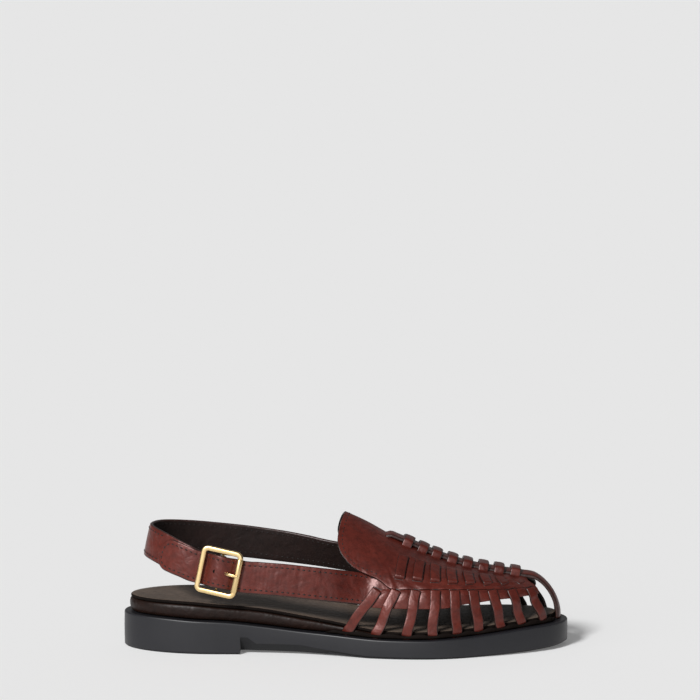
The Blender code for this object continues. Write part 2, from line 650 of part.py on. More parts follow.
def make_back_strap(look):
    """From the inner side of the vamp round the heel to the buckle, folded round the centre bar."""
    places = spaced(CURVE[0][0], -22.0, 6.0) + spaced(-22.0, -13.0, 3.0) + [-13.0, -9.6, -7.5, -5.2, -3.0]
    outline = [((s, smooth(BACK_LAYERS, "s", s, "top")), (s, smooth(BACK_LAYERS, "s", s, "low")))
               for s in places]
    inner = CENTRE_BAR + GAP
    for degrees in (-90, -60, -30, 0, 30, 60, 90, 110):
        turn = Vector((math.cos(math.radians(degrees)), math.sin(math.radians(degrees))))
        outline.append(tuple((turn.x * radius, PIN_DEPTH + turn.y * radius) for radius in (inner, inner + SKIVED)))
    return make_ribbon("strap_back", outline, lambda s: shift(-s), lambda a, b: min(a, b) >= -3.1, look)


# Buckle ------------------------------------------------------------------------------------------
BAR_SIDES = 8
ROLLER_SIDES = 12
PRONG_ARM = [(1.6, 0.3), (2.9, 1.7), (4.4, 3.1), (6.2, 4.4), (8.6, 4.85), (12.2, 4.75)]   # (s, depth)


def tube(bm, centres, frame, radius, sides, closed):
    """Round bar through centres given as (s, w, depth); frame gives the two directions across it."""
    rings = []
    for centre, (u, v) in zip(centres, frame):
        ring = []
        for n in range(sides):
            turn = 2 * math.pi * (n + 0.5) / sides
            s, w, depth = Vector(centre) + (u * math.cos(turn) + v * math.sin(turn)) * radius
            ring.append(buckle_point(s, w, depth))
        rings.append(ring)
    verts = skin_rings(bm, rings, closed_ends=not closed)
    if closed:
        join_rings(bm, verts[-1], verts[0])


def buckle_point(s, w, depth):
    point, tangent, width, normal = BUCKLE_FRAME
    return point + tangent * s + width * (w - BUCKLE_DROP) + normal * depth


def helper(name, bm):
    """Hidden body that a Boolean joins or cuts with."""
    made = finish(name, bm, material("helper", (0.5, 0.5, 0.5), 0.5))
    made.hide_render = True
    made.display_type = "WIRE"
    return made


def make_buckle(look):
    """Frame with its centre bar set back on two lugs, the roller on its front bar, and the prong."""
    out = Vector((0, 0, 1))
    half_s, half_w, corner = BUCKLE_LENGTH / 2 - BAR, BUCKLE_HEIGHT / 2 - BAR, BUCKLE_CORNER
    centres, frame = [], []
    for quarter, (sign_s, sign_w) in enumerate(((1, 1), (-1, 1), (-1, -1), (1, -1))):
        for step in range(4):
            turn = math.radians(90 * quarter + 30 * step)
            away = Vector((math.cos(turn), math.sin(turn), 0.0))
            centres.append((sign_s * (half_s - corner) + away.x * corner,
                            sign_w * (half_w - corner) + away.y * corner, FRAME_DEPTH))
            frame.append((away, out))
    bm = bmesh.new()
    tube(bm, centres, frame, BAR, BAR_SIDES, closed=True)
    buckle = finish("buckle_frame", bm, look)

    side, along = Vector((0, 1, 0)), Vector((1, 0, 0))
    for name, centres, frame, radius in (
            ("lug_top", [(0, half_w, PIN_DEPTH - LUG_END), (0, half_w, FRAME_DEPTH)], [(along, side)] * 2, LUG),
            ("lug_low", [(0, -half_w, PIN_DEPTH - LUG_END), (0, -half_w, FRAME_DEPTH)], [(along, side)] * 2, LUG),
            ("pin", [(0, -half_w, PIN_DEPTH), (0, half_w, PIN_DEPTH)], [(along, out)] * 2, CENTRE_BAR)):
        bm = bmesh.new()
        tube(bm, centres, frame, radius, BAR_SIDES, closed=False)
        join = buckle.modifiers.new(name, "BOOLEAN")
        join.operation = "UNION"
        join.solver = "EXACT"
        join.object = helper(name, bm)

    bm = bmesh.new()
    rings = []
    for w, radius in ((corner - half_w, ROLLER - ROLLER_WALL), (corner - half_w, ROLLER),
                      (half_w - corner, ROLLER), (half_w - corner, ROLLER - ROLLER_WALL)):
        turns = [2 * math.pi * n / ROLLER_SIDES for n in range(ROLLER_SIDES)]
        rings.append([buckle_point(half_s + radius * math.cos(turn), w, FRAME_DEPTH + radius * math.sin(turn))
                      for turn in turns])
    verts = skin_rings(bm, rings, closed_ends=False)
    join_rings(bm, verts[-1], verts[0])
    roller = finish("buckle_roller", bm, look)

    ring = CENTRE_BAR + GAP
    pairs = []
    for degrees in range(110, 361, 25):
        turn = Vector((math.cos(math.radians(degrees)), math.sin(math.radians(degrees))))
        pairs.append([(turn.x * radius, PIN_DEPTH + turn.y * radius) for radius in (ring + PRONG_THICK, ring)])
    for n, (s, depth) in enumerate(PRONG_ARM):
        low, high = Vector(PRONG_ARM[max(n - 1, 0)]), Vector(PRONG_ARM[min(n + 1, len(PRONG_ARM) - 1)])
        along_arm = (high - low).normalized() * (PRONG_THICK / 2)
        pairs.append([(s + along_arm.y, depth - along_arm.x), (s - along_arm.y, depth + along_arm.x)])
    points, cells = {}, []
    for i, pair in enumerate(pairs):
        for j, w in enumerate((-PRONG_WIDTH / 2, PRONG_WIDTH / 2)):
            points[i, j] = [buckle_point(s, w, depth) for s, depth in pair]
    for i in range(len(pairs) - 1):
        cells.append([(i, 0), (i + 1, 0), (i + 1, 1), (i, 1)])
    bm = bmesh.new()
    closed_wall(bm, points, cells)
    return buckle, roller, finish("buckle_prong", bm, look)


def main():
    for old in list(bpy.data.objects):
        bpy.data.objects.remove(old, do_unlink=True)
    rubber = material("black_rubber", (0.025, 0.026, 0.03), 0.55)
    wrap = material("dark_brown_leather", (0.045, 0.022, 0.016), 0.4)
    sock = material("dark_sock_leather", (0.075, 0.062, 0.05), 0.6)
    burgundy = material("burgundy_leather", (0.16, 0.035, 0.025), 0.33)
    brass = material("pale_brass", (0.72, 0.53, 0.26), 0.25, 1.0)
    make_outsole(rubber)
    make_footbed(wrap, sock)
    make_upper(burgundy)
    make_front_strap(burgundy)
    make_back_strap(burgundy)
    make_buckle(brass)


main()
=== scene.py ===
"""Looks of a woven slingback loafer, a right shoe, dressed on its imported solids.

+X runs to the toe, +Y to the inner side of the foot and +Z up. Tables and sizes are in millimetres, and
each finished mesh is scaled to metres. Depths and heights are measured out of a surface.
"""

import logging
import math
from bisect import bisect_right
from collections.abc import Callable, Iterable, Sequence
from dataclasses import dataclass, field
from enum import Enum, IntEnum
from functools import lru_cache, partial
from itertools import product
from typing import NamedTuple, Self, TypeVar

import bmesh
import bpy
from bpy.types import Material, Node, NodeSocket, NodeTree, Object
from mathutils import Matrix, Vector


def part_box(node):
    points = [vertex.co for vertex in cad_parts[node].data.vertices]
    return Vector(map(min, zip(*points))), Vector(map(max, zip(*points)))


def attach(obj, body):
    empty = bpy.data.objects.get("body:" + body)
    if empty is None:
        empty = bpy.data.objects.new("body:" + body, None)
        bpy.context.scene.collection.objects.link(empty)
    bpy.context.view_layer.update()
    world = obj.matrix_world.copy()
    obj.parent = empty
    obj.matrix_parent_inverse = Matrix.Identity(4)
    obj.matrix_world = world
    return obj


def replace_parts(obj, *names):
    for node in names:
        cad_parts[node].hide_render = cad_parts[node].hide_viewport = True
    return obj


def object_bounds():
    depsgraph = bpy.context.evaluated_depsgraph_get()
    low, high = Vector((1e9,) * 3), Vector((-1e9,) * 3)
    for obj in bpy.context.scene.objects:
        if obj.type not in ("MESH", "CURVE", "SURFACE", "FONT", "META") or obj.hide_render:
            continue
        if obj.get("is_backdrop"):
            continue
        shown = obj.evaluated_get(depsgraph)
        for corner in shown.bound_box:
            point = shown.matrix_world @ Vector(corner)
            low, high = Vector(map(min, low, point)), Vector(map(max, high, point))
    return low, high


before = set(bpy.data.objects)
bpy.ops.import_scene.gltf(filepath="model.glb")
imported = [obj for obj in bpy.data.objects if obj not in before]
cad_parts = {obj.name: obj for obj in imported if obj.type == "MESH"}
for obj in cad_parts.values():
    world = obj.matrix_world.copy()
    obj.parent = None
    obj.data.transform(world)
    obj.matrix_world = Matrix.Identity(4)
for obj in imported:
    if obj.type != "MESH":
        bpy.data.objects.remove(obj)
CAD_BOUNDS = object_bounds()

MM = 0.001
LOG = logging.getLogger("loafer")
Column = TypeVar("Column")
Row = TypeVar("Row")


class Side(Enum):
    """Side of the shoe, by the sign of its y."""

    OUTER = -1
    INNER = 1


class Coat(Enum):
    """Material slot of a leather piece that a face takes."""

    FACE = 0
    LINING = 1
    EDGE = 2


# Curves and tables ----------------------------------------


class Curve:
    """Smooth curve through knots, level outside them."""

    def __init__(self, keys: Sequence[float], values: Sequence[float]) -> None:
        """Work out the slope at every knot.

        Args:
            keys: rising places of the knots.
            values: the curve's value at each.
        """
        self.keys = list(keys)
        self.values = list(values)
        last = len(self.keys) - 1
        self.slopes = []
        for i in range(last + 1):
            low = max(i - 1, 0)
            high = min(i + 1, last)
            self.slopes.append((self.values[high] - self.values[low]) / (self.keys[high] - self.keys[low]))

    def __call__(self, key: float) -> float:
        """Read the curve.

        Args:
            key: where to read it.

        Returns:
            Its value there.
        """
        keys, values = self.keys, self.values
        if key <= keys[0]:
            return values[0]
        if key >= keys[-1]:
            return values[-1]
        i = bisect_right(keys, key) - 1
        span = keys[i + 1] - keys[i]
        t = (key - keys[i]) / span
        s = 1 - t
        return (
            (1 + 2 * t) * s * s * values[i]
            + t * s * s * span * self.slopes[i]
            + t * t * (3 - 2 * t) * values[i + 1]
            - t * t * s * span * self.slopes[i + 1]
        )


def columns(rows: Sequence[NamedTuple]) -> dict[str, Curve]:
    """Turn a table into one curve for each of its columns, read by the first column.

    Args:
        rows: rows of one kind, in rising order of their first column.

    Returns:
        The curves by column name.
    """
    keys = [row[0] for row in rows]
    return {name: Curve(keys, [getattr(row, name) for row in rows]) for name in rows[0]._fields[1:]}


def ramp(value: float, low: float, high: float) -> float:
    """Rise smoothly from 0 at low to 1 at high.

    Args:
        value: where to read it.
        low: start of the rise.
        high: its end.

    Returns:
        A number from 0 to 1.
    """
    t = min(max((value - low) / (high - low), 0.0), 1.0)
    return t * t * (3 - 2 * t)


def steps(start: float, end: float, count: int) -> list[float]:
    """Evenly spaced numbers, both ends included.

    Args:
        start: first number.
        end: last number.
        count: how many.

    Returns:
        The numbers.
    """
    return [start + (end - start) * i / (count - 1) for i in range(count)]


def between_strips(line: float) -> float:
    """0 on a woven strip's line, 1 halfway to the next."""
    return 0.5 - 0.5 * math.cos(2 * math.pi * line)


def walk(points: Sequence[Vector]) -> list[float]:
    """Distance walked at each point of a path.

    Args:
        points: the path.

    Returns:
        The distances, from 0.
    """
    walked = [0.0]
    for a, b in zip(points, points[1:]):
        walked.append(walked[-1] + (b - a).length)
    return walked


def bezier(points: Sequence[Vector], t: float) -> Vector:
    """Point on a cubic curve.

    Args:
        points: its four control points.
        t: 0 at its start, 1 at its end.

    Returns:
        The point.
    """
    s = 1 - t
    p0, p1, p2, p3 = points
    return p0 * s**3 + p1 * (3 * s * s * t) + p2 * (3 * s * t * t) + p3 * t**3


# Mesh helpers ---------------------------------------------


def bent_grid(
    columns_of: Sequence[Column],
    rows_of: Sequence[Row],
    place: Callable[[Column, Row], Vector],
    dress: Callable[[Row], Coat] | None = None,
) -> bmesh.types.BMesh:
    """Make a grid and bend it into a shape.

    Args:
        columns_of: what each column of points stands for.
        rows_of: what each row of points stands for.
        place: where the point of a column and row goes, in millimetres.
        dress: material slot of the faces that start at a row.

    Returns:
        The bent grid, with points that meet merged.
    """
    wide, high = len(columns_of) - 1, len(rows_of) - 1
    bm = bmesh.new()
    bmesh.ops.create_grid(bm, x_segments=wide, y_segments=high, size=0.5)
    if dress is not None:
        for face in bm.faces:
            row = math.floor((face.calc_center_median().y + 0.5) * high)
            face.material_index = dress(rows_of[row]).value
    for vert in bm.verts:
        column = round((vert.co.x + 0.5) * wide)
        row = round((vert.co.y + 0.5) * high)
        vert.co = place(columns_of[column], rows_of[row])
    bmesh.ops.remove_doubles(bm, verts=bm.verts, dist=0.002)
    return bm


def close_ends(bm: bmesh.types.BMesh) -> None:
    """Fill the open ends of a tube."""
    border = [edge for edge in bm.edges if edge.is_boundary]
    bmesh.ops.holes_fill(bm, edges=border, sides=0)


def add_piece(name: str, bm: bmesh.types.BMesh, looks: Sequence[Material]) -> Object:
    """Turn a bmesh in millimetres into a finished piece that rides on the shoe.

    Args:
        name: the piece's name.
        bm: its mesh, which is freed.
        looks: its materials, in the order of its slots.

    Returns:
        The object.
    """
    bmesh.ops.scale(bm, vec=(MM, MM, MM), verts=bm.verts)
    mesh = bpy.data.meshes.new(name)
    bm.to_mesh(mesh)
    bm.free()
    for look in looks:
        mesh.materials.append(look)
    mesh.shade_smooth()
    piece = bpy.data.objects.new(name, mesh)
    bpy.context.scene.collection.objects.link(piece)
    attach(piece, "root")
    LOG.info("%s: %d faces", name, len(mesh.polygons))
    return piece


def closed(bm: bmesh.types.BMesh) -> bmesh.types.BMesh:
    """Turn the faces of a closed mesh outwards.

    Args:
        bm: the mesh.

    Returns:
        The same mesh.
    """
    bmesh.ops.recalc_face_normals(bm, faces=bm.faces)
    if bm.calc_volume(signed=True) < 0:
        bmesh.ops.reverse_faces(bm, faces=bm.faces)
    return bm


def facing(bm: bmesh.types.BMesh, way: Vector) -> bmesh.types.BMesh:
    """Turn an open sheet so that, taken together, its faces look one way.

    Args:
        bm: the sheet.
        way: where they look.

    Returns:
        The same sheet.
    """
    bmesh.ops.recalc_face_normals(bm, faces=bm.faces)
    bm.normal_update()
    if sum(face.normal.dot(way) * face.calc_area() for face in bm.faces) < 0:
        bmesh.ops.reverse_faces(bm, faces=bm.faces)
    return bm


def give_wall(piece: Object, thickness: float, edge: float) -> None:
    """Give a sheet its thickness inwards, and round its edges.

    Args:
        piece: the sheet, with its faces outwards.
        thickness: of the wall, in millimetres.
        edge: radius of its edges, in millimetres.
    """
    wall = piece.modifiers.new("wall", "SOLIDIFY")
    wall.thickness = thickness * MM
    wall.offset = -1.0
    wall.material_offset = Coat.LINING.value
    wall.material_offset_rim = Coat.EDGE.value
    rounding = piece.modifiers.new("rounding", "BEVEL")
    rounding.width = edge * MM
    rounding.segments = 3
    rounding.limit_method = "ANGLE"
    rounding.angle_limit = math.radians(50)


class Pose(NamedTuple):
    """Place and directions on a piece."""

    point: Vector
    along: Vector
    across: Vector
    out: Vector

    def at(self, along: float = 0.0, across: float = 0.0, out: float = 0.0) -> Vector:
        """Point at these distances from the place."""
        return self.point + self.along * along + self.across * across + self.out * out

    def moved(self, along: float = 0.0, across: float = 0.0, out: float = 0.0) -> Self:
        """The pose carried by these distances."""
        return self._replace(point=self.at(along, across, out))


@dataclass(frozen=True)
class Section:
    """Rounded cross-section of a leather strap."""

    width: float
    thickness: float
    radius: float          # of its four edges
    crown: float = 0.0     # how far the middle of its face stands above the edges
    across: int = 6        # faces across
    arc: int = 3           # faces round each edge

    def ring(self) -> list[tuple[float, float, Coat]]:
        """List the points round it, starting and ending at one point.

        Returns:
            Place across, depth out of the face, and the coat of the face that follows, for each point.
        """
        half = self.width / 2 - self.radius
        high, low = -self.radius, self.radius - self.thickness
        points = []
        for w in steps(-half, half, self.across + 1):
            points.append((w, self.crown * (1 - (w / half) ** 2), Coat.FACE))
        points += self.bend(half, high, 90) + self.bend(half, low, 0)
        points += [(w, -self.thickness, Coat.LINING) for w in steps(half, -half, self.across + 1)]
        return points + self.bend(-half, low, -90) + self.bend(-half, high, -180)

    def bend(self, middle: float, centre: float, start: float) -> list[tuple[float, float, Coat]]:
        """List the points of the quarter turn round one edge.

        Args:
            middle: place across of the turn's centre.
            centre: its depth.
            start: angle where the turn starts, in degrees.

        Returns:
            The points, as in ring.
        """
        turns = [math.radians(turn) for turn in steps(start, start - 90, self.arc + 1)[1:]]
        r = self.radius
        return [(middle + r * math.cos(turn), centre + r * math.sin(turn), Coat.EDGE) for turn in turns]


class Station(NamedTuple):
    """Place on a ribbon's length: its pose, height out of the pose and shares of its width and thickness."""

    pose: Pose
    height: float = 0.0
    narrow: float = 1.0
    thin: float = 1.0


def ribbon(stations: Sequence[Station], section: Section) -> bmesh.types.BMesh:
    """Run a section along a path.

    Args:
        stations: places along the path.
        section: the section.

    Returns:
        The closed ribbon.
    """

    def place(station: Station, corner: tuple[float, float, Coat]) -> Vector:
        """Carry a point of the section to a station."""
        across, depth, _ = corner
        return station.pose.at(across=across * station.narrow, out=station.height + depth * station.thin)

    bm = bent_grid(stations, section.ring(), place, lambda corner: corner[2])
    close_ends(bm)
    return closed(bm)


def join(meshes: Iterable[bmesh.types.BMesh]) -> bmesh.types.BMesh:
    """Gather several meshes in one.

    Args:
        meshes: the meshes, which are freed.

    Returns:
        One mesh that holds them all.
    """
    whole = bmesh.new()
    for bm in meshes:
        part = bpy.data.meshes.new("part")
        bm.to_mesh(part)
        bm.free()
        whole.from_mesh(part)
        bpy.data.meshes.remove(part)
    return whole


# Finishes -------------------------------------------------


def linear(colour: str) -> tuple[float, float, float, float]:
    """Turn an sRGB hex colour to linear light.

    Args:
        colour: six hex digits.

    Returns:
        Red, green, blue and an alpha of 1.
    """
    parts = [int(colour[i : i + 2], 16) / 255 for i in (0, 2, 4)]
    red, green, blue = (c / 12.92 if c <= 0.04045 else ((c + 0.055) / 1.055) ** 2.4 for c in parts)
    return red, green, blue, 1.0


def add_node(
    tree: NodeTree,
    kind: str,
    links: dict[str | int, object] | None = None,
    **settings: object,
) -> Node:
    """Add a node with its settings and links.

    Args:
        tree: the node tree.
        kind: the node's type.
        links: for each input, a socket to link or a value to set.
        settings: the node's own options.

    Returns:
        The node.
    """
    node = tree.nodes.new(kind)
    for name, value in settings.items():
        setattr(node, name, value)
    for name, value in (links or {}).items():
        if isinstance(value, NodeSocket):
            tree.links.new(value, node.inputs[name])
        else:
            node.inputs[name].default_value = value
    return node


def pitch(size: float) -> float:
    """Scale of a pattern on Object coordinates whose features are `size` millimetres apart."""
    return 1000.0 / size


class Mix(IntEnum):
    """Numbers of a colour Mix node's sockets, whose names repeat."""

    FACTOR = 0
    A = 6
    B = 7
    RESULT = 2


def start_material(name: str) -> tuple[Material, Callable[..., Node], NodeSocket]:
    """Make a material with an empty tree and the Object coordinates.

    Args:
        name: the material's name.

    Returns:
        The material, add_node for its tree, and the coordinates' socket.
    """
    made = bpy.data.materials.new(name)
    made.use_nodes = True
    made.node_tree.nodes.clear()
    add = partial(add_node, made.node_tree)
    return made, add, add("ShaderNodeTexCoord").outputs["Object"]


@dataclass(frozen=True)
class PolishedCalf:
    """Drum-dyed calf, waxed and brushed: clouded colour, fine pores and a soft gloss on its high spots."""

    name: str
    light: str
    body: str
    dark: str
    roughness: float
    coat: float
    cloud: float = 34.0    # size of the colour's clouds
    fleck: float = 3.2     # size of the dark flecks
    swell: float = 7.0     # length of the slow undulations
    pore: float = 1.1      # pore spacing; real pores are 0.2 apart, drawn as coarse as they need to show
    relief: float = 0.05   # height of the grain
    wave: float = 0.9      # height of the slow undulations
    shine: float = 0.5     # specular level
    gleam: str = "ffffff"  # tint of the wax's reflection
    wax: float = 0.24      # roughness of the wax

    def build(self) -> Material:
        """Make the material.

        Returns:
            The material.
        """
        made, add, place = start_material(self.name)
        cloud = add(
            "ShaderNodeTexNoise",
            {"Vector": place, "Scale": pitch(self.cloud), "Detail": 4.0, "Roughness": 0.6},
        )
        mottle = add(
            "ShaderNodeTexNoise",
            {"Vector": place, "Scale": pitch(self.fleck), "Detail": 5.0, "Roughness": 0.65},
        )
        pores = add("ShaderNodeTexVoronoi", {"Vector": place, "Scale": pitch(self.pore)}, feature="SMOOTH_F1")
        clouds = add(
            "ShaderNodeMapRange", {"Value": cloud.outputs["Fac"], "From Min": 0.34, "From Max": 0.68}
        )
        flecks = add(
            "ShaderNodeMapRange",
            {"Value": mottle.outputs["Fac"], "From Min": 0.42, "From Max": 0.78, "To Max": 0.65},
        )
        base = add(
            "ShaderNodeMix",
            {Mix.FACTOR: clouds.outputs["Result"], Mix.A: linear(self.body), Mix.B: linear(self.light)},
            data_type="RGBA",
        )
        colour = add(
            "ShaderNodeMix",
            {Mix.FACTOR: flecks.outputs["Result"], Mix.A: base.outputs[Mix.RESULT], Mix.B: linear(self.dark)},
            data_type="RGBA",
        )
        gloss = add(
            "ShaderNodeMapRange",
            {
                "Value": mottle.outputs["Fac"],
                "To Min": self.roughness - 0.05,
                "To Max": self.roughness + 0.09,
            },
        )
        grain = add(
            "ShaderNodeMath", {0: pores.outputs["Distance"], 1: mottle.outputs["Fac"]}, operation="ADD"
        )
        fine = add(
            "ShaderNodeBump", {"Height": grain.outputs[0], "Strength": 0.55, "Distance": self.relief * MM}
        )
        waves = add(
            "ShaderNodeTexNoise",
            {"Vector": place, "Scale": pitch(self.swell), "Detail": 2.0, "Distortion": 0.4},
        )
        bump = add(
            "ShaderNodeBump",
            {
                "Height": waves.outputs["Fac"],
                "Strength": 0.7,
                "Distance": self.wave * MM,
                "Normal": fine.outputs["Normal"],
            },
        )
        calf = add(
            "ShaderNodeBsdfPrincipled",
            {
                "Base Color": colour.outputs[Mix.RESULT],
                "Roughness": gloss.outputs["Result"],
                "Normal": bump.outputs["Normal"],
                "Specular IOR Level": self.shine,
                "Specular Tint": linear(self.gleam),
                "Coat Weight": self.coat,
                "Coat Roughness": self.wax,
            },
        )
        add("ShaderNodeOutputMaterial", {"Surface": calf.outputs[0]})
        return made


@dataclass(frozen=True)
class MouldedRubber:
    """Carbon-filled rubber from a satin mould: dark grey, even, with a faint orange-peel and dust in it."""

    name: str
    body: str
    light: str
    roughness: float
    bloom: float = 26.0    # size of the dusty clouds
    peel: float = 0.8      # real texture is 0.1, drawn as coarse as it needs to show

    def build(self) -> Material:
        """Make the material.

        Returns:
            The material.
        """
        made, add, place = start_material(self.name)
        bloom = add(
            "ShaderNodeTexNoise",
            {"Vector": place, "Scale": pitch(self.bloom), "Detail": 5.0, "Roughness": 0.6},
        )
        peel = add("ShaderNodeTexNoise", {"Vector": place, "Scale": pitch(self.peel), "Detail": 2.0})
        colour = add(
            "ShaderNodeMix",
            {Mix.FACTOR: bloom.outputs["Fac"], Mix.A: linear(self.body), Mix.B: linear(self.light)},
            data_type="RGBA",
        )
        gloss = add(
            "ShaderNodeMapRange",
            {"Value": bloom.outputs["Fac"], "To Min": self.roughness - 0.07, "To Max": self.roughness + 0.07},
        )
        bump = add("ShaderNodeBump", {"Height": peel.outputs["Fac"], "Strength": 0.3, "Distance": 0.04 * MM})
        rubber = add(
            "ShaderNodeBsdfPrincipled",
            {
                "Base Color": colour.outputs[Mix.RESULT],
                "Roughness": gloss.outputs["Result"],
                "Normal": bump.outputs["Normal"],
                "Specular IOR Level": 0.45,
            },
        )
        add("ShaderNodeOutputMaterial", {"Surface": rubber.outputs[0]})
        return made


@dataclass(frozen=True)
class PlatedBrass:
    """Zinc casting plated with pale brass and tumbled: bright, warm, with fine hairlines."""

    name: str
    body: str
    deep: str
    roughness: float
    hairline: float = 0.5  # real hairlines are 0.05 apart, drawn as coarse as they need to show
    stretch: float = 0.12  # they are drawn out upwards; 1 is not at all
    tarnish: float = 6.0   # size of the deeper patches

    def build(self) -> Material:
        """Make the material.

        Returns:
            The material.
        """
        made, add, place = start_material(self.name)
        stretched = add("ShaderNodeMapping", {"Vector": place, "Scale": (1.0, 1.0, self.stretch)})
        lines = add(
            "ShaderNodeTexNoise",
            {"Vector": stretched.outputs["Vector"], "Scale": pitch(self.hairline), "Detail": 3.0},
        )
        tint = add("ShaderNodeTexNoise", {"Vector": place, "Scale": pitch(self.tarnish), "Detail": 2.0})
        colour = add(
            "ShaderNodeMix",
            {Mix.FACTOR: tint.outputs["Fac"], Mix.A: linear(self.body), Mix.B: linear(self.deep)},
            data_type="RGBA",
        )
        gloss = add(
            "ShaderNodeMapRange",
            {"Value": lines.outputs["Fac"], "To Min": self.roughness - 0.05, "To Max": self.roughness + 0.1},
        )
        bump = add(
            "ShaderNodeBump", {"Height": lines.outputs["Fac"], "Strength": 0.25, "Distance": 0.02 * MM}
        )
        brass = add(
            "ShaderNodeBsdfPrincipled",
            {
                "Base Color": colour.outputs[Mix.RESULT],
                "Metallic": 1.0,
                "Roughness": gloss.outputs["Result"],
                "Normal": bump.outputs["Normal"],
            },
        )
        add("ShaderNodeOutputMaterial", {"Surface": brass.outputs[0]})
        return made


@dataclass(frozen=True)
class WaxedThread:
    """Twisted polyester thread, waxed: dull, with light and dark plies across each stitch."""

    name: str
    body: str
    light: str
    ply: float = 0.5       # width of a ply
    twist: float = 0.1     # depth between two plies

    def build(self) -> Material:
        """Make the material.

        Returns:
            The material.
        """
        made, add, place = start_material(self.name)
        plies = add("ShaderNodeTexNoise", {"Vector": place, "Scale": pitch(self.ply), "Detail": 1.0})
        colour = add(
            "ShaderNodeMix",
            {Mix.FACTOR: plies.outputs["Fac"], Mix.A: linear(self.body), Mix.B: linear(self.light)},
            data_type="RGBA",
        )
        bump = add(
            "ShaderNodeBump", {"Height": plies.outputs["Fac"], "Strength": 0.5, "Distance": self.twist * MM}
        )
        thread = add(
            "ShaderNodeBsdfPrincipled",
            {
                "Base Color": colour.outputs[Mix.RESULT],
                "Roughness": 0.6,
                "Normal": bump.outputs["Normal"],
            },
        )
        add("ShaderNodeOutputMaterial", {"Surface": thread.outputs[0]})
        return made


@dataclass(frozen=True)
class PaperSweep:
    """Seamless studio paper: flat white, with no gloss, and glowing a little as if lit from every side."""

    name: str
    body: str
    glow: float

    def build(self) -> Material:
        """Make the material.

        Returns:
            The material.
        """
        made, add, _ = start_material(self.name)
        paper = add(
            "ShaderNodeBsdfPrincipled",
            {
                "Base Color": linear(self.body),
                "Roughness": 1.0,
                "Specular IOR Level": 0.0,
                "Emission Color": (1.0, 1.0, 1.0, 1.0),
                "Emission Strength": self.glow,
            },
        )
        add("ShaderNodeOutputMaterial", {"Surface": paper.outputs[0]})
        return made


@dataclass
class Wardrobe:
    """Every finish of the shoe, made once."""

    # Dyed through and waxed: deep wine brown, with a rosy gloss that gathers on the strips' tops.
    burgundy: Material = field(
        default_factory=PolishedCalf(
            "burgundy_calf", "5a241c", "451812", "200906", 0.35, 0.03, wave=1.1, gleam="ffd4d0"
        ).build
    )
    # Left unwaxed: nearly black inside the shoe, with an open grain that swallows the light.
    lining: Material = field(
        default_factory=PolishedCalf(
            "brown_lining", "221310", "190e0b", "0f0706", 0.6, 0.0, relief=0.08, shine=0.3
        ).build
    )
    # Sanded, inked and burnished: a thin, smooth line along every cut, darker than the face.
    edge: Material = field(
        default_factory=PolishedCalf("inked_edge", "321711", "260f0c", "150806", 0.4, 0.1, cloud=8.0).build
    )
    # Thin and drawn tight: a near-black band between the upper and the rubber.
    wrap: Material = field(
        default_factory=PolishedCalf("brown_wrap", "20110c", "170c08", "0a0503", 0.42, 0.0, shine=0.2).build
    )
    # Vegetable-tanned and bare: olive brown, matt, the lightest leather of the shoe.
    sock: Material = field(
        default_factory=PolishedCalf(
            "olive_sock", "625449", "53463d", "362d28", 0.55, 0.0, relief=0.07, shine=0.4
        ).build
    )
    # As it left the mould: charcoal, with a soft sheen down the side.
    rubber: Material = field(default_factory=MouldedRubber("charcoal_rubber", "151519", "1b1b1f", 0.42).build)
    # The same rubber, darker and dull on every face that looks down: painted shade along the tread's edge and
    # under the waist.
    tread: Material = field(
        default_factory=MouldedRubber("downward_faces_painted_shade_rubber", "08080b", "0e0e11", 0.75).build
    )
    # Pale plate: the one bright and warm spot.
    brass: Material = field(default_factory=PlatedBrass("pale_brass", "f4d9a6", "e3c184", 0.27).build)
    # Cut and left raw: dark and dull, so that holes and turned edges read as shade.
    raw: Material = field(
        default_factory=PolishedCalf("raw_edge_and_painted_shade", "120b08", "0c0705", "060302", 0.8, 0.0, shine=0.1).build
    )
    # Nearly black: short dark pricks along the leather's edges.
    thread: Material = field(default_factory=WaxedThread("dark_thread", "070302", "150a08").build)

    @property
    def leather(self) -> list[Material]:
        """Materials of an upper piece, in the order of Coat."""
        return [self.burgundy, self.lining, self.edge]


# Sole -----------------------------------------------------


class OutlineRow(NamedTuple):
    """Half widths of the sole from its axis, before the round ends are taken off, and the rim's height."""

    x: float
    outer: float
    inner: float
    rim: float


class TreadRow(NamedTuple):
    """Height of the side's lower edge and of the tread, and how far the tread is set in."""

    x: float
    wall: float
    tread: float
    tuck: float


class FootbedRow(NamedTuple):
    """Height of the insole and how far the footbed's edge lies in from the rim."""

    x: float
    top: float
    inset: float


BREAST = -62.6    # x of the heel's breast


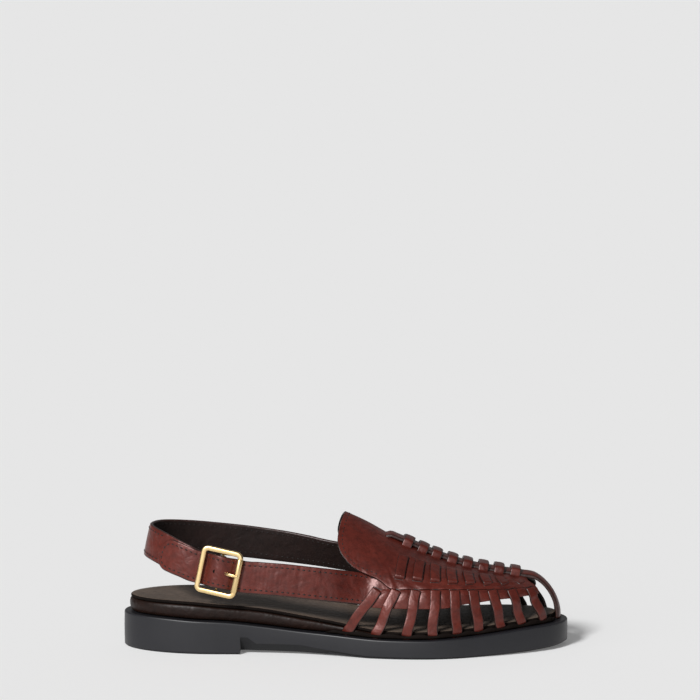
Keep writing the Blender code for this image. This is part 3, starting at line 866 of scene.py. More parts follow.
@dataclass(frozen=True)
class Plan:
    """Plan and heights of the sole, which every other piece starts from."""

    axis: float = 2.43
    heel_cap: float = 57.0     # length of the outline's round heel end
    toe_cap: float = 90.0      # length of its round toe end
    heel_share: float = 0.26   # share of the turns that the heel end takes
    toe_share: float = 0.58    # the toe end takes those from this share on
    heel_pole: float = 45.0    # the loops close this far from the back
    toe_pole: float = 60.0     # and this far from the tip
    insole: float = 2.0
    gap: float = 0.3
    outline: tuple[OutlineRow, ...] = (
        OutlineRow(-132.5, 34.2, 34.2, 20.9),
        OutlineRow(-108.0, 34.2, 34.2, 20.6),
        OutlineRow(-93.0, 34.2, 34.2, 19.9),
        OutlineRow(-70.0, 34.2, 34.0, 19.0),
        OutlineRow(-48.0, 34.8, 32.2, 16.7),
        OutlineRow(-27.0, 37.0, 30.6, 14.4),
        OutlineRow(-9.0, 40.3, 30.8, 13.0),
        OutlineRow(15.0, 46.8, 35.2, 11.5),
        OutlineRow(33.0, 49.5, 40.8, 11.2),
        OutlineRow(49.0, 49.9, 44.6, 11.2),
        OutlineRow(64.0, 48.6, 46.2, 11.8),
        OutlineRow(79.0, 46.0, 46.6, 12.6),
        OutlineRow(108.0, 43.6, 45.6, 15.0),
        OutlineRow(132.5, 45.0, 44.0, 16.0),
    )
    footbed: tuple[FootbedRow, ...] = (
        FootbedRow(-132.5, 31.0, 3.4),
        FootbedRow(-95.0, 30.6, 4.2),
        FootbedRow(-73.0, 29.0, 4.4),
        FootbedRow(-50.0, 26.9, 4.5),
        FootbedRow(-28.0, 23.4, 4.8),
        FootbedRow(-8.0, 19.9, 6.2),
        FootbedRow(14.0, 16.2, 6.4),
        FootbedRow(30.0, 15.2, 6.4),
        FootbedRow(62.0, 15.7, 6.4),
        FootbedRow(79.0, 16.6, 6.4),
        FootbedRow(97.0, 18.0, 6.4),
        FootbedRow(132.5, 20.2, 6.3),
    )
    tread: tuple[TreadRow, ...] = (
        TreadRow(-132.5, 0.8, 0.0, 0.8),
        TreadRow(BREAST, 0.8, 0.0, 0.8),
        TreadRow(BREAST + 0.3, 10.4, 1.8, 5.2),
        TreadRow(-57.8, 10.4, 1.8, 5.2),
        TreadRow(-53.4, 6.6, 1.7, 4.8),
        TreadRow(-27.0, 6.4, 1.4, 4.0),
        TreadRow(-18.0, 4.9, 1.1, 3.2),
        TreadRow(1.0, 2.4, 0.5, 1.8),
        TreadRow(12.0, 1.5, 0.0, 1.2),
        TreadRow(70.0, 1.0, 0.0, 1.0),
        TreadRow(93.0, 1.4, 0.5, 1.0),
        TreadRow(108.0, 1.9, 0.9, 1.2),
        TreadRow(120.0, 2.6, 1.5, 1.4),
        TreadRow(132.5, 3.4, 2.2, 1.5),
    )

    def __post_init__(self) -> None:
        """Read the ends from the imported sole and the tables' columns as curves."""
        low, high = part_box("outsole")
        object.__setattr__(self, "back", low[0] / MM)
        object.__setattr__(self, "tip", high[0] / MM)
        object.__setattr__(self, "edge", columns(self.outline))
        object.__setattr__(self, "bed", columns(self.footbed))

    def rim_height(self, x: float) -> float:
        """Height of the sole's top at x."""
        return self.edge["rim"](x)

    def tread_at(self, x: float, name: str) -> float:
        """Read a column of the tread's table on straight lines.

        Args:
            x: place along the sole.
            name: the column.

        Returns:
            Its value.
        """
        for low, high in zip(self.tread, self.tread[1:]):
            if x <= high.x:
                t = min(max((x - low.x) / (high.x - low.x), 0.0), 1.0)
                return getattr(low, name) * (1 - t) + getattr(high, name) * t
        return getattr(self.tread[-1], name)

    def half(self, x: float, side: Side) -> float:
        """Half width of the sole at x, to the outside of its round ends.

        Args:
            x: place along the sole.
            side: which side.

        Returns:
            The distance from the axis.
        """
        toe = max(0.0, (x - (self.tip - self.toe_cap)) / self.toe_cap)
        heel = max(0.0, (self.back + self.heel_cap - x) / self.heel_cap)
        name = "outer" if side is Side.OUTER else "inner"
        return self.edge[name](x) * math.sqrt(max(0.0, 1 - max(toe, heel) ** 2))

    def x_at(self, share: float) -> float:
        """Place along the sole for a share of the way from heel to toe, closer together at the round ends.

        Args:
            share: 0 at the back, 1 at the tip.

        Returns:
            x in millimetres.
        """
        if share < self.heel_share:
            return self.back + self.heel_cap * (1 - math.cos(math.pi / 2 * share / self.heel_share))
        if share > self.toe_share:
            turn = math.pi / 2 * (share - self.toe_share) / (1 - self.toe_share)
            return self.tip - self.toe_cap + self.toe_cap * math.sin(turn)
        t = (share - self.heel_share) / (self.toe_share - self.heel_share)
        return self.back + self.heel_cap + (self.tip - self.toe_cap - self.back - self.heel_cap) * t

    def rim(self, turn: float) -> Vector:
        """Point of the rim's outline.

        Args:
            turn: 0 at the heel, 1 at the toe along the outer side, 2 back at the heel along the inner one.

        Returns:
            The point in plan.
        """
        turn %= 2.0
        side = Side.OUTER if turn <= 1 else Side.INNER
        x = self.x_at(turn if turn <= 1 else 2 - turn)
        return Vector((x, self.axis + side.value * self.half(x, side)))

    def inset(self, turn: float, depth: float) -> Vector:
        """Point of the rim's outline moved in by a depth."""
        along = (self.rim(turn + 0.004) - self.rim(turn - 0.004)).normalized()
        return self.rim(turn) + Vector((-along.y, along.x)) * depth

    def turns(self, count: int) -> list[float]:
        """Turns round the outline, with more at the heel's breast.

        Args:
            count: how many, not counting those.

        Returns:
            The turns, from 0 to 2.
        """
        length = self.tip - self.toe_cap - self.back - self.heel_cap
        span = self.toe_share - self.heel_share
        found = steps(0.0, 2.0, count)
        for x in (BREAST - 0.05, BREAST, BREAST + 0.3, BREAST + 0.4):
            share = self.heel_share + span * (x - self.back - self.heel_cap) / length
            found += [share, 2 - share]
        return sorted(found)

    def towards_spine(self, point: Vector, share: float) -> Vector:
        """Move a point of the outline towards the sole's middle line.

        Args:
            point: point in plan.
            share: 1 leaves it where it is, 0 puts it on the line.

        Returns:
            The moved point.
        """
        pole_heel, pole_toe = self.back + self.heel_pole, self.tip - self.toe_pole
        x = point.x
        if x < pole_heel:
            x += (pole_heel - x) * (1 - share)
        if x > pole_toe:
            x += (pole_toe - x) * (1 - share)
        return Vector((x, self.axis + (point.y - self.axis) * share))

    def foot_half(self, x: float, side: Side, depth: float) -> float:
        """Half width of the rim's outline moved in by a depth.

        Args:
            x: place along the sole.
            side: which side.
            depth: how far in.

        Returns:
            The distance from the axis.
        """
        line = self.inset_line(side, depth)
        i = max(1, min(bisect_right(line[0], x), len(line[0]) - 1))
        t = min(max((x - line[0][i - 1]) / (line[0][i] - line[0][i - 1]), 0.0), 1.0)
        return line[1][i - 1] + (line[1][i] - line[1][i - 1]) * t

    @lru_cache(maxsize=8)
    def inset_line(self, side: Side, depth: float) -> tuple[list[float], list[float]]:
        """Places and half widths of the moved outline on one side, back to tip.

        Args:
            side: which side.
            depth: how far in it is moved.

        Returns:
            The places along the sole and the half width at each.
        """
        turns = steps(0.0, 1.0, 161) if side is Side.OUTER else steps(2.0, 1.0, 161)
        points = [self.inset(turn, depth) for turn in turns]
        return [p.x for p in points], [abs(p.y - self.axis) for p in points]


class Ring(NamedTuple):
    """Loop round the sole: how far in from the rim and how high at each x, and its share of the way out."""

    inset: Callable[[float], float]
    height: Callable[[float], float]
    share: float = 1.0


def stack(plan: Plan, rings: Sequence[Ring], turns: Sequence[float]) -> bmesh.types.BMesh:
    """Skin a flat body from loops round the sole, bottom to top.

    Args:
        plan: the sole's plan.
        rings: the loops; the first and last have a share of 0, so that they close.
        turns: where round the outline the points stand.

    Returns:
        The closed body.
    """

    def place(turn: float, ring: Ring) -> Vector:
        """Place a point of the body.

        Args:
            turn: where round the outline.
            ring: the loop that it is on.

        Returns:
            The point.
        """
        x = plan.rim(turn).x
        point = plan.towards_spine(plan.inset(turn, ring.inset(x)), ring.share)
        return Vector((point.x, point.y, ring.height(point.x if ring.share < 1 else x)))

    return closed(bent_grid(turns, rings, place))


@dataclass
class Sole:
    """Rubber unit with its heel moulded in, the wrapped midsole, and the insole."""

    plan: Plan
    wardrobe: Wardrobe
    rim_round: float = 0.9     # radius of the rim's edge
    tread_round: float = 0.5   # radius of the tread's edge
    side_hollow: float = 0.18  # how far the rubber's side is drawn in halfway up
    rim_sink: float = 0.25     # the rim lies this much lower under the upper
    insole_round: float = 1.0  # radius of the insole's edge
    arch: float = 0.9          # how much thicker the insole is under the inner arch
    spine: tuple[float, ...] = (0.0, 0.2, 0.45, 0.7, 0.88)    # shares of the loops on the flats

    def build(self) -> None:
        """Make the three pieces."""
        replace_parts(self.outsole(), "outsole")
        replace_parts(self.midsole(), "midsole")
        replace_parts(self.insole(), "insole")

    def outsole(self) -> Object:
        """Rubber unit: flat tread, tucked waist, plain side and a rim with a soft edge.

        Returns:
            The piece.
        """
        plan = self.plan
        rim = plan.rim_height

        def tuck(x: float) -> float:
            """How far the tread is set in."""
            return plan.tread_at(x, "tuck")

        def floor(x: float) -> float:
            """Height of the tread."""
            return plan.tread_at(x, "tread")

        def wall(x: float) -> float:
            """Height of the side's lower edge."""
            return plan.tread_at(x, "wall")

        def foot(x: float) -> float:
            """Height of the tread's round edge."""
            return min(0.6 * self.tread_round, 0.6 * (wall(x) - floor(x)))

        # The flat tread and its round edge.
        rings = [Ring(lambda x: tuck(x) + 3.2, floor, share) for share in self.spine]
        rings.append(Ring(lambda x: tuck(x) + 2.6, floor))
        for angle in (0, 30, 60, 90):
            turn = math.radians(angle)
            slack = self.tread_round * (1 - math.sin(turn))
            rise = 1 - math.cos(turn)
            rings.append(Ring(lambda x, s=slack: tuck(x) + s, lambda x, r=rise: floor(x) + r * foot(x)))
        # From there out to the side: a bevel where the side starts high, a tight turn where it starts low.
        rings += [
            Ring(
                lambda x, s=share: tuck(x) * (1 - s ** (6.0 - 5.2 * ramp(wall(x), 2.5, 5.0))),
                lambda x, s=share: floor(x) + foot(x) + (wall(x) - floor(x) - foot(x)) * s,
            )
            for share in (0.4, 0.75, 0.92, 1.0)
        ]
        # The side.
        rings += [
            Ring(
                lambda x, s=share: -self.side_hollow * math.sin(math.pi * s),
                lambda x, s=share: wall(x) + (rim(x) - self.rim_round - wall(x)) * s,
            )
            for share in (0.04, 0.3, 0.6, 0.96)
        ]
        # The rim's round edge, and its flat that runs in under the upper.
        for angle in (0, 20, 45, 70, 90):
            turn = math.radians(angle)
            slack = self.rim_round * (1 - math.cos(turn))
            drop = self.rim_round * (1 - math.sin(turn))
            rings.append(Ring(lambda x, s=slack: s, lambda x, d=drop: rim(x) - d))
        for depth, sink in ((2.2, 0.05), (3.2, 0.12), (5.0, 0.2), (7.0, self.rim_sink)):
            rings.append(Ring(lambda x, d=depth: d, lambda x, s=sink: rim(x) - s))
        for share in reversed(self.spine):
            rings.append(Ring(lambda x: 8.0, lambda x: rim(x) - self.rim_sink, share))
        bm = stack(plan, rings, plan.turns(281))
        bm.normal_update()
        # Faces that look down take the darker rubber as painted shade: the dark line at the tread and the
        # shade under the waist.
        for face in bm.faces:
            face.material_index = 1 if face.normal.z < -0.25 else 0
        return add_piece("rubber_unit", bm, [self.wardrobe.rubber, self.wardrobe.tread])

    def midsole(self) -> Object:
        """Midsole with brown leather drawn over its edge, full in the middle and tucked in below.

        Returns:
            The piece.
        """
        plan = self.plan
        top, inset = plan.bed["top"], plan.bed["inset"]

        def low(x: float) -> float:
            """Height of the underside, over the rim."""
            return plan.rim_height(x) + plan.gap

        def high(x: float) -> float:
            """Height of the upper side, under the insole."""
            return top(x) - plan.insole - plan.gap

        rings = [Ring(lambda x: inset(x) + 3.0, low, share) for share in self.spine]
        # How far in the edge lies, by the share of its height.
        profile = (
            (1.6, 0.0), (0.9, 0.03), (0.45, 0.12), (0.1, 0.3), (-0.12, 0.52), (-0.12, 0.7), (0.1, 0.86),
            (0.5, 0.96), (1.1, 1.0),
        )
        rings += [
            Ring(lambda x, s=slack: inset(x) + s, lambda x, s=share: low(x) + (high(x) - low(x)) * s)
            for slack, share in profile
        ]
        rings += [Ring(lambda x: inset(x) + 3.0, high, share) for share in reversed(self.spine)]
        bm = stack(plan, rings, plan.turns(241))
        return add_piece("wrapped_midsole", bm, [self.wardrobe.wrap])

    def insole(self) -> Object:
        """Leather insole with a soft edge, worn a little hollow under heel and ball.

        Returns:
            The piece.
        """
        plan = self.plan
        top, inset = plan.bed["top"], plan.bed["inset"]
        hollow = Curve((-132.5, -100.0, -60.0, -10.0, 50.0, 90.0, 132.5), (0.2, 0.9, 0.5, 0.2, 0.7, 0.4, 0.0))

        def low(x: float) -> float:
            """Height of the underside."""
            return top(x) - plan.insole

        rings = [Ring(lambda x: inset(x) + 3.0, low, share) for share in self.spine]
        for angle in (-90, -60, -30, 0, 30, 60, 90):
            turn = math.radians(angle)
            slack = self.insole_round * (1 - math.cos(turn))
            rise = self.insole_round * (1 + math.sin(turn))
            rings.append(Ring(lambda x, s=slack: inset(x) + 0.5 + s, lambda x, r=rise: low(x) + r))
        for depth, sink in ((3.0, 0.04), (6.0, 0.25)):
            rings.append(Ring(lambda x, d=depth: inset(x) + d, lambda x, s=sink: top(x) - s * hollow(x)))
        rings += [
            Ring(lambda x: inset(x) + 6.0, lambda x, s=share: top(x) - hollow(x) * (1 - 0.75 * s * s), share)
            for share in (0.9, 0.72, 0.5, 0.25, 0.0)
        ]
        bm = stack(plan, rings, plan.turns(241))
        # The upper face rises to the inner side under the arch.
        for vert in bm.verts:
            away = vert.co.y - plan.axis
            share = away / plan.half(vert.co.x, Side.INNER) if away > 0 else 0.0
            if vert.co.z > low(vert.co.x) + 0.9:
                span = ramp(vert.co.x, -75.0, -35.0) * (1 - ramp(vert.co.x, 40.0, 75.0))
                vert.co.z += self.arch * span * ramp(share, 0.45, 0.8)
        bm.normal_update()
        # Every face but the top takes the near-black raw finish: partly the cut edge's own darker tone,
        # partly painted shade along the insole's side.
        for face in bm.faces:
            face.material_index = 0 if face.normal.z > 0.8 else 1
        return add_piece("leather_insole", bm, [self.wardrobe.sock, self.wardrobe.raw])


# Last -----------------------------------------------------


class CrestRow(NamedTuple):
    """Point of a profile along the shoe's middle."""

    x: float
    z: float


class FanRow(NamedTuple):
    """A strip's line over the shoe. crest, plug, shoulder and feather are the x where it crosses those."""

    line: float
    crest: float
    plug: float
    shoulder: float
    feather: float
    half: float        # shoulder's distance from the axis
    height: float      # shoulder's height
    crown: float       # flatness of the top
    flank: float       # degrees of slope at the shoulder
    edge: float        # share of the way from crest to shoulder where the plug ends
    band: float        # share of the way from shoulder to sole that the side band takes


CREST = (
    CrestRow(-6.0, 82.6), CrestRow(0.0, 80.0), CrestRow(13.0, 73.9), CrestRow(26.0, 66.6),
    CrestRow(37.7, 61.6), CrestRow(54.0, 54.4), CrestRow(72.4, 48.4), CrestRow(91.4, 44.8),
    CrestRow(104.0, 43.0), CrestRow(114.0, 40.4),
)
FAN = (
    FanRow(0.0, 0.2, -5.2, -1.5, -24.0, 34.6, 40.0, 11.0, 74.0, 0.77, 0.37),
    FanRow(1.0, 25.5, 22.5, 19.0, -0.5, 36.2, 39.8, 12.0, 66.0, 0.88, 0.37),
    FanRow(2.0, 37.7, 33.0, 30.0, 16.5, 36.8, 39.6, 12.5, 62.0, 0.95, 0.37),
    FanRow(3.0, 46.3, 43.0, 41.2, 35.2, 37.2, 39.6, 13.0, 60.0, 0.95, 0.37),
    FanRow(4.0, 54.2, 52.4, 52.6, 50.7, 36.4, 39.4, 13.0, 58.0, 0.95, 0.37),
    FanRow(5.0, 63.6, 62.0, 63.6, 65.1, 34.8, 39.0, 13.0, 57.0, 0.95, 0.36),
    FanRow(6.0, 72.4, 72.1, 74.4, 78.2, 32.2, 38.6, 13.0, 56.0, 0.94, 0.33),
    FanRow(7.0, 82.1, 81.9, 85.6, 91.8, 28.8, 38.0, 12.0, 56.0, 0.94, 0.28),
    FanRow(8.0, 91.4, 91.5, 97.0, 104.3, 24.2, 37.5, 11.0, 56.0, 0.93, 0.25),
    FanRow(9.0, 101.1, 101.5, 108.0, 117.6, 17.2, 37.2, 8.0, 56.0, 0.92, 0.22),
    FanRow(10.0, 112.0, 112.0, 115.5, 124.0, 10.0, 36.8, 5.0, 60.0, 0.92, 0.2),
)
TOE_RUN = (
    CrestRow(109.0, 42.3), CrestRow(112.0, 41.5), CrestRow(115.2, 39.6), CrestRow(118.2, 37.0),
    CrestRow(120.9, 33.9), CrestRow(123.3, 30.2), CrestRow(125.3, 25.5), CrestRow(126.4, 21.0),
    CrestRow(126.7, 16.4),
)


@dataclass(frozen=True)
class Last:
    """Surface that the upper lies on: the outside of its base leather."""

    plan: Plan
    strip: float = 1.6         # thickness of a woven strip
    rim_flat: float = 4.0      # flat of the rim that shows outside the strips
    plug_row: float = 0.6      # share of the way from crest to shoulder where `plug` is read

    def __post_init__(self) -> None:
        """Read the tables' columns as curves."""
        object.__setattr__(self, "fan_curves", columns(FAN))
        object.__setattr__(self, "crest", Curve([row.x for row in CREST], [row.z for row in CREST]))

    @lru_cache(maxsize=4096)
    def fan(self, line: float) -> FanRow:
        """Row of the fan for any line, between its strips too."""
        return FanRow(line, *(curve(line) for curve in self.fan_curves.values()))

    @lru_cache(maxsize=4096)
    def column(self, line: float, side: Side) -> tuple[Curve, list[Vector], list[Vector]]:
        """What does not change down a line: its track and the two halves of its profile.

        Args:
            line: the line.
            side: which side of the shoe.

        Returns:
            x by r, the control points from crest to shoulder, and those from shoulder to sole.
        """
        fan = self.fan(line)
        track = Curve((0.0, self.plug_row, 1.0, 2.0), (fan.crest, fan.plug, fan.shoulder, fan.feather))
        depth = self.rim_flat + self.strip
        foot = self.plan.foot_half(fan.feather, side, depth)
        share = foot / max(self.plan.foot_half(fan.feather, Side.OUTER, depth), 1.0)
        crest = Vector((0.0, self.crest(fan.crest)))
        shoulder = Vector((fan.half * share**0.6, fan.height))
        slope = math.radians(fan.flank)
        rise = Vector((-math.cos(slope), math.sin(slope))) * (0.5 * (crest.y - shoulder.y) + 1.5)
        top = [crest, crest + Vector((fan.crown, 0.0)), shoulder + rise, shoulder]
        sole = Vector((foot, self.plan.rim_height(fan.feather) + self.plan.gap))
        fall = Vector((math.cos(slope), -math.sin(slope))) * 8.0
        return track, top, [shoulder, shoulder + fall, sole + Vector((0.6, 9.0)), sole]

    def point(self, line: float, r: float, side: Side) -> Vector:
        """Point on the last.

        Args:
            line: strip's line, 0 at the tongue's end.
            r: 0 at the crest, 1 at the shoulder, 2 at the sole.
            side: which side of the shoe.

        Returns:
            The point.
        """
        track, top, low = self.column(line, side)
        place = bezier(top, r) if r <= 1 else bezier(low, r - 1)
        return Vector((track(r), self.plan.axis + side.value * place.x, place.y))

    def pose(self, line: float, r: float, side: Side) -> Pose:
        """Point with the directions down the line, forwards across it, and out of the last.

        Args:
            line: strip's line.
            r: place down the line.
            side: which side of the shoe.

        Returns:
            The pose.
        """
        d = 0.02
        low = max(r, d) if r < 1 else min(r, 2 - d)
        forward = self.point(line + d, low, side) - self.point(line - d, low, side)
        down = (self.point(line, low + d, side) - self.point(line, low - d, side)).normalized()
        out = forward.cross(down) * side.value
        if r < d:
            out.y = 0.0
        out.normalize()
        if out.z < 0 and r < 1:
            out.negate()
        return Pose(self.point(line, r, side), down, out.cross(down).normalized() * side.value, out)

    @lru_cache(maxsize=512)
    def lengths(self, line: float, side: Side) -> Curve:
        """r by the distance walked from the crest, as far as the shoulder.

        Args:
            line: strip's line.
            side: which side of the shoe.

        Returns:
            The curve.
        """
        shares = steps(0.0, 1.0, 41)
        return Curve(walk([self.point(line, r, side) for r in shares]), shares)


# Stitching ------------------------------------------------


@dataclass(frozen=True)
class Stitch:
    """Running stitch: thread, and how it lies in the leather."""

    pitch: float = 3.2
    length: float = 1.95
    width: float = 0.85
    stand: float = 0.02       # how far its middle stands out of the leather

    def row(self, poses: Sequence[Pose]) -> bmesh.types.BMesh:
        """Sew along a path.

        Args:
            poses: places along the path, closer together than the stitches.

        Returns:
            One small thread for each stitch.
        """
        bm = bmesh.new()
        walked, due = 0.0, self.pitch / 2
        for here, ahead in zip(poses, poses[1:]):
            span = (ahead.point - here.point).length
            while walked + span >= due and span > 0:
                t = (due - walked) / span
                centre = here.point.lerp(ahead.point, t)
                out = here.out.lerp(ahead.out, t).normalized()
                along = (ahead.point - here.point).normalized()
                across = out.cross(along).normalized()
                turn = Matrix((along, across, out)).transposed().to_4x4()
                size = Matrix.Diagonal((self.length / 2, self.width / 2, self.width / 2, 1.0))
                place = Matrix.Translation(centre + out * self.stand)
                bmesh.ops.create_icosphere(bm, subdivisions=1, radius=1.0, matrix=place @ turn @ size)
                due += self.pitch
            walked += span
        return bm


# Upper ----------------------------------------------------


class Crease(NamedTuple):
    """Soft trough in the plug with a ridge beside it, along the shoe or across it."""

    line: float
    share: float       # of the way from crest to the plug's edge
    reach: float       # half its length, in lines
    slope: float       # change of share with line
    depth: float


@dataclass
class Vamp:
    """Woven front: tongue and plug in one sheet, the side bands, nine strips a side, and the centre strap."""

    last: Last
    wardrobe: Wardrobe
    leather: float = 1.6
    strip_width: float = 6.2
    strips: int = 9
    centre_width: float = 14.0
    centre_thick: float = 2.0
    centre_round: float = 28.0     # radius across the centre strap over the plug
    toe_round: float = 14.0        # and at the toe
    corner: float = 0.42           # tongue's round lower corner, in lines
    corner_from: float = 0.62      # where it starts, as a share of the way to the plug's edge
    tongue_end: float = 0.73       # line where the tongue's own faces end
    slit_end: float = 1.55         # plug and side band are one piece from this line on
    plug_end: float = 9.65
    bump_reach: float = 11.0       # a crossing ends this far from the crest,
    bump_share: float = 0.55       # or at this share of the shoulder's half width where that is less
    stitch_inset: float = 2.6
    wave: float = 0.3              # height of a strip's waves
    wander: float = 0.035          # lines that it strays to either side
    twist: float = 7.0             # degrees that it turns about its length
    toe_lean: float = 0.25         # lines that the feet of the inner strips by the toe lie further forwards
    toe_from: int = 8              # the strips from here on lie by the toe
    roll_inset: float = 5.0
    roll_height: float = 3.0
    trough: float = 0.03           # half width of a crease's trough, as a share of the way to the plug's edge
    ridge: float = 0.05            # half width of the ridge beside it, and how far off it lies
    creases: tuple[Crease, ...] = (
        Crease(7.4, 0.72, 0.5, 0.06, 0.2),
        Crease(7.9, 0.84, 0.6, -0.06, 0.2),
        Crease(8.5, 0.62, 0.45, 0.1, 0.25),
        Crease(8.8, 0.8, 0.5, -0.1, 0.22),
        Crease(5.6, 0.86, 0.8, 0.03, 0.2),
        Crease(3.3, 0.87, 0.9, 0.02, 0.2),
        Crease(1.5, 0.84, 0.45, 0.25, 0.25),
    )

    def build(self) -> None:
        """Make every piece of the vamp."""
        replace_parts(self.plug(), "upper")
        for side in Side:
            self.band(side)
        self.side_strips()
        self.crossings()
        self.tabs()
        self.slits()
        self.centre_strap()
        self.tongue_stitches()
        self.lasting_roll()

    def bump_end(self, line: float, side: Side) -> float:
        """r where a strip's crossing over the centre strap ends."""
        reach = min(self.bump_reach, self.bump_share * self.last.fan(line).half)
        return self.last.lengths(line, side)(reach)

    def corner_turn(self, share: float) -> float:
        """How far round the tongue's lower corner a share lies, from 0 to 1."""
        return min(max(0.0, (share - self.corner_from) / (1 - self.corner_from)), 1.0)

    def tongue_line(self, line: float, share: float) -> float:
        """Move a line so that the tongue's lower corners are round.

        Args:
            line: line of the even grid.
            share: share of the way from crest to the plug's edge.

        Returns:
            The line where the leather lies.
        """
        if line >= self.tongue_end:
            return line
        back = self.corner * (1 - math.sqrt(max(0.0, 1 - self.corner_turn(share) ** 2)))
        return back + (self.tongue_end - back) * line / self.tongue_end

    def edge_r(self, line: float) -> float:
        """r of the plug's lower edge at a line."""
        slit = ramp(line, 0.75, self.slit_end + 0.35)
        return self.last.fan(line).edge * (1 - slit) + 1.0 * slit

    def plug(self) -> Object:
        """Tongue and plug: one sheet from edge to edge over the instep.

        Returns:
            The piece.
        """
        lines = steps(0.0, self.tongue_end, 26)[:-1] + steps(self.tongue_end, self.plug_end, 190)
        shares = [math.copysign(abs(s) ** 0.9, s) for s in steps(-1.0, 1.0, 75)]

        def place(line: float, share: float) -> Vector:
            """Place a point of the sheet.

            Args:
                line: line of the even grid.
                share: share of the way from crest to edge, below 0 on the outer side.

            Returns:
                The point.
            """
            side = Side.OUTER if share < 0 else Side.INNER
            line = self.tongue_line(line, abs(share))
            pose = self.last.pose(line, abs(share) * self.edge_r(line), side)
            return pose.at(out=self.swell(line, abs(share)))

        bm = facing(bent_grid(lines, shares, place), Vector((0, 0, 1)))
        piece = add_piece("tongue_and_plug", bm, self.wardrobe.leather)
        give_wall(piece, self.leather, 0.45)
        return piece

    def swell(self, line: float, share: float) -> float:
        """How far the sheet stands off the last: it puffs between the slits and sinks at them.

        Args:
            line: strip's line.
            share: share of the way to the plug's edge.

        Returns:
            Height in millimetres.
        """
        creased = 0.0
        for crease in self.creases:
            u, v = line - crease.line, share - crease.share
            away = v - crease.slope * u
            near = math.exp(-((u / crease.reach) ** 2))
            creased += crease.depth * near * math.exp(-(((away - self.ridge) / self.ridge) ** 2))
            creased -= crease.depth * near * math.exp(-((away / self.trough) ** 2))
        if line < 1.4 or line > 9.4:
            return creased
        between = between_strips(line)
        woven = ramp(line, 1.4, 2.0) * (1 - ramp(line, 9.0, 9.4))
        lip = 0.5 * ramp(share, 0.88, 0.98) * between * (1 - 0.6 * ramp(line, 6.0, 8.0))
        pad = 0.7 * between * ramp(share, 0.3, 0.45) * (1 - ramp(share, 0.78, 0.88))
        return creased + woven * (lip + pad)

    def band(self, side: Side) -> None:
        """Side band under the strips, which pinch it so that it puffs between them.

        Args:
            side: which side of the shoe.
        """

        def place(line: float, share: float) -> Vector:
            """Place a point of the sheet.

            Args:
                line: strip's line.
                share: share of the way down the band.

            Returns:
                The point.
            """
            deeper = 1.0 + 0.13 * (1 - ramp(line, 4.4, 5.6))
            pose = self.last.pose(line, 1.003 + self.last.fan(line).band * share * deeper, side)
            puff = 1.2 * between_strips(line) ** 0.6 * math.sin(math.pi * (0.14 + 0.8 * share**0.8)) - 0.3
            return pose.at(out=puff)

        sheet = bent_grid(steps(0.93, 9.62, 200), steps(0.0, 1.0, 15), place)
        bm = facing(sheet, Vector((0, side.value, 0)))
        piece = add_piece(f"side_band_{side.name.lower()}", bm, self.wardrobe.leather)
        give_wall(piece, self.leather - 0.3, 0.4)

    def strip_section(self) -> Section:
        """Section of a woven strip: folded leather with round edges."""
        return Section(self.strip_width, self.last.strip, 0.62, crown=0.16, across=6, arc=3)

    def side_strips(self) -> None:
        """Strips from the slit at the shoulder, over the band and down to the sole."""
        made = []
        for side, number in product(Side, range(1, self.strips + 1)):
            line = float(number)
            band = self.last.fan(line).band
            low_edge = 1 + band * 1.1
            stations = []
            for r in steps(0.995, 1.1, 12)[:-1] + steps(1.1, 2.0, 46):
                rise = (self.last.strip + 0.9) * ramp(r, 0.99, 1.055) - 0.9
                settle = 0.3 * ramp(r, low_edge, low_edge + 0.1)
                free = ramp(r, 1.1, 1.45) * (1 - ramp(r, 1.75, 1.98))
                wave = self.wave * math.sin(number * 2.3 + r * 11.0) * free
                wander = self.wander * math.sin(number * 1.7 + r * 6.0) * free
                leans = side is Side.INNER and number >= self.toe_from
                lean = self.toe_lean * ramp(r, 1.0, 2.0) if leans else 0.0
                pose = self.last.pose(line + lean + wander, r, side)
                twist = math.radians(self.twist * math.sin(number * 2.9 + r * 3.0)) * free
                across = pose.across * math.cos(twist) + pose.out * math.sin(twist)
                out = pose.out * math.cos(twist) - pose.across * math.sin(twist)
                pose = Pose(pose.point, pose.along, across, out)
                thin = 1.0 - 0.35 * (1 - ramp(r, 0.99, 1.03))
                under = 1.5 * ramp(r, 1.9, 2.0)
                stations.append(Station(pose, rise - settle + wave - under, 1.0 - 0.05 * under, thin))
            foot = stations[-1]
            stations.append(foot._replace(pose=foot.pose.moved(along=0.8)))
            made.append(ribbon(stations, self.strip_section()))
        add_piece("side_strips", join(made), self.wardrobe.leather)

    def crossings(self) -> None:
        """Strips where they cross over the centre strap."""
        # Height of a strip's face by the share of the way to its end: flat at first, then steeply down.
        drape = Curve((0.0, 0.5, 0.62, 0.7, 0.77, 0.84, 1.0), (3.75, 3.72, 3.45, 2.4, 0.75, -0.1, -0.9))
        made = []
        for number in range(2, self.strips + 1):
            line = float(number)
            stations = []
            for share in steps(-1.0, 1.0, 97):
                side = Side.OUTER if share < 0 else Side.INNER
                end = self.bump_end(line, side) * 1.04
                pose = self.last.pose(line, abs(share) * end, side)
                turned = Pose(pose.point, pose.along * side.value, pose.across, pose.out)
                stations.append(Station(turned, drape(abs(share)), 0.97))
            made.append(ribbon(stations, self.strip_section()))
        add_piece("strip_crossings", join(made), self.wardrobe.leather)

    def tabs(self) -> None:
        """Short stretches of the strips that show on the plug between two slits."""
        made = []
        for side, number in product(Side, range(2, self.strips + 1)):
            line = float(number)
            start = self.bump_end(line, side)
            reach = self.last.fan(line).edge - start
            low, high = start + reach * 0.27, start + reach * 0.84
            length = (self.last.point(line, high, side) - self.last.point(line, low, side)).length
            turn = min(1.0 / length, 0.3)
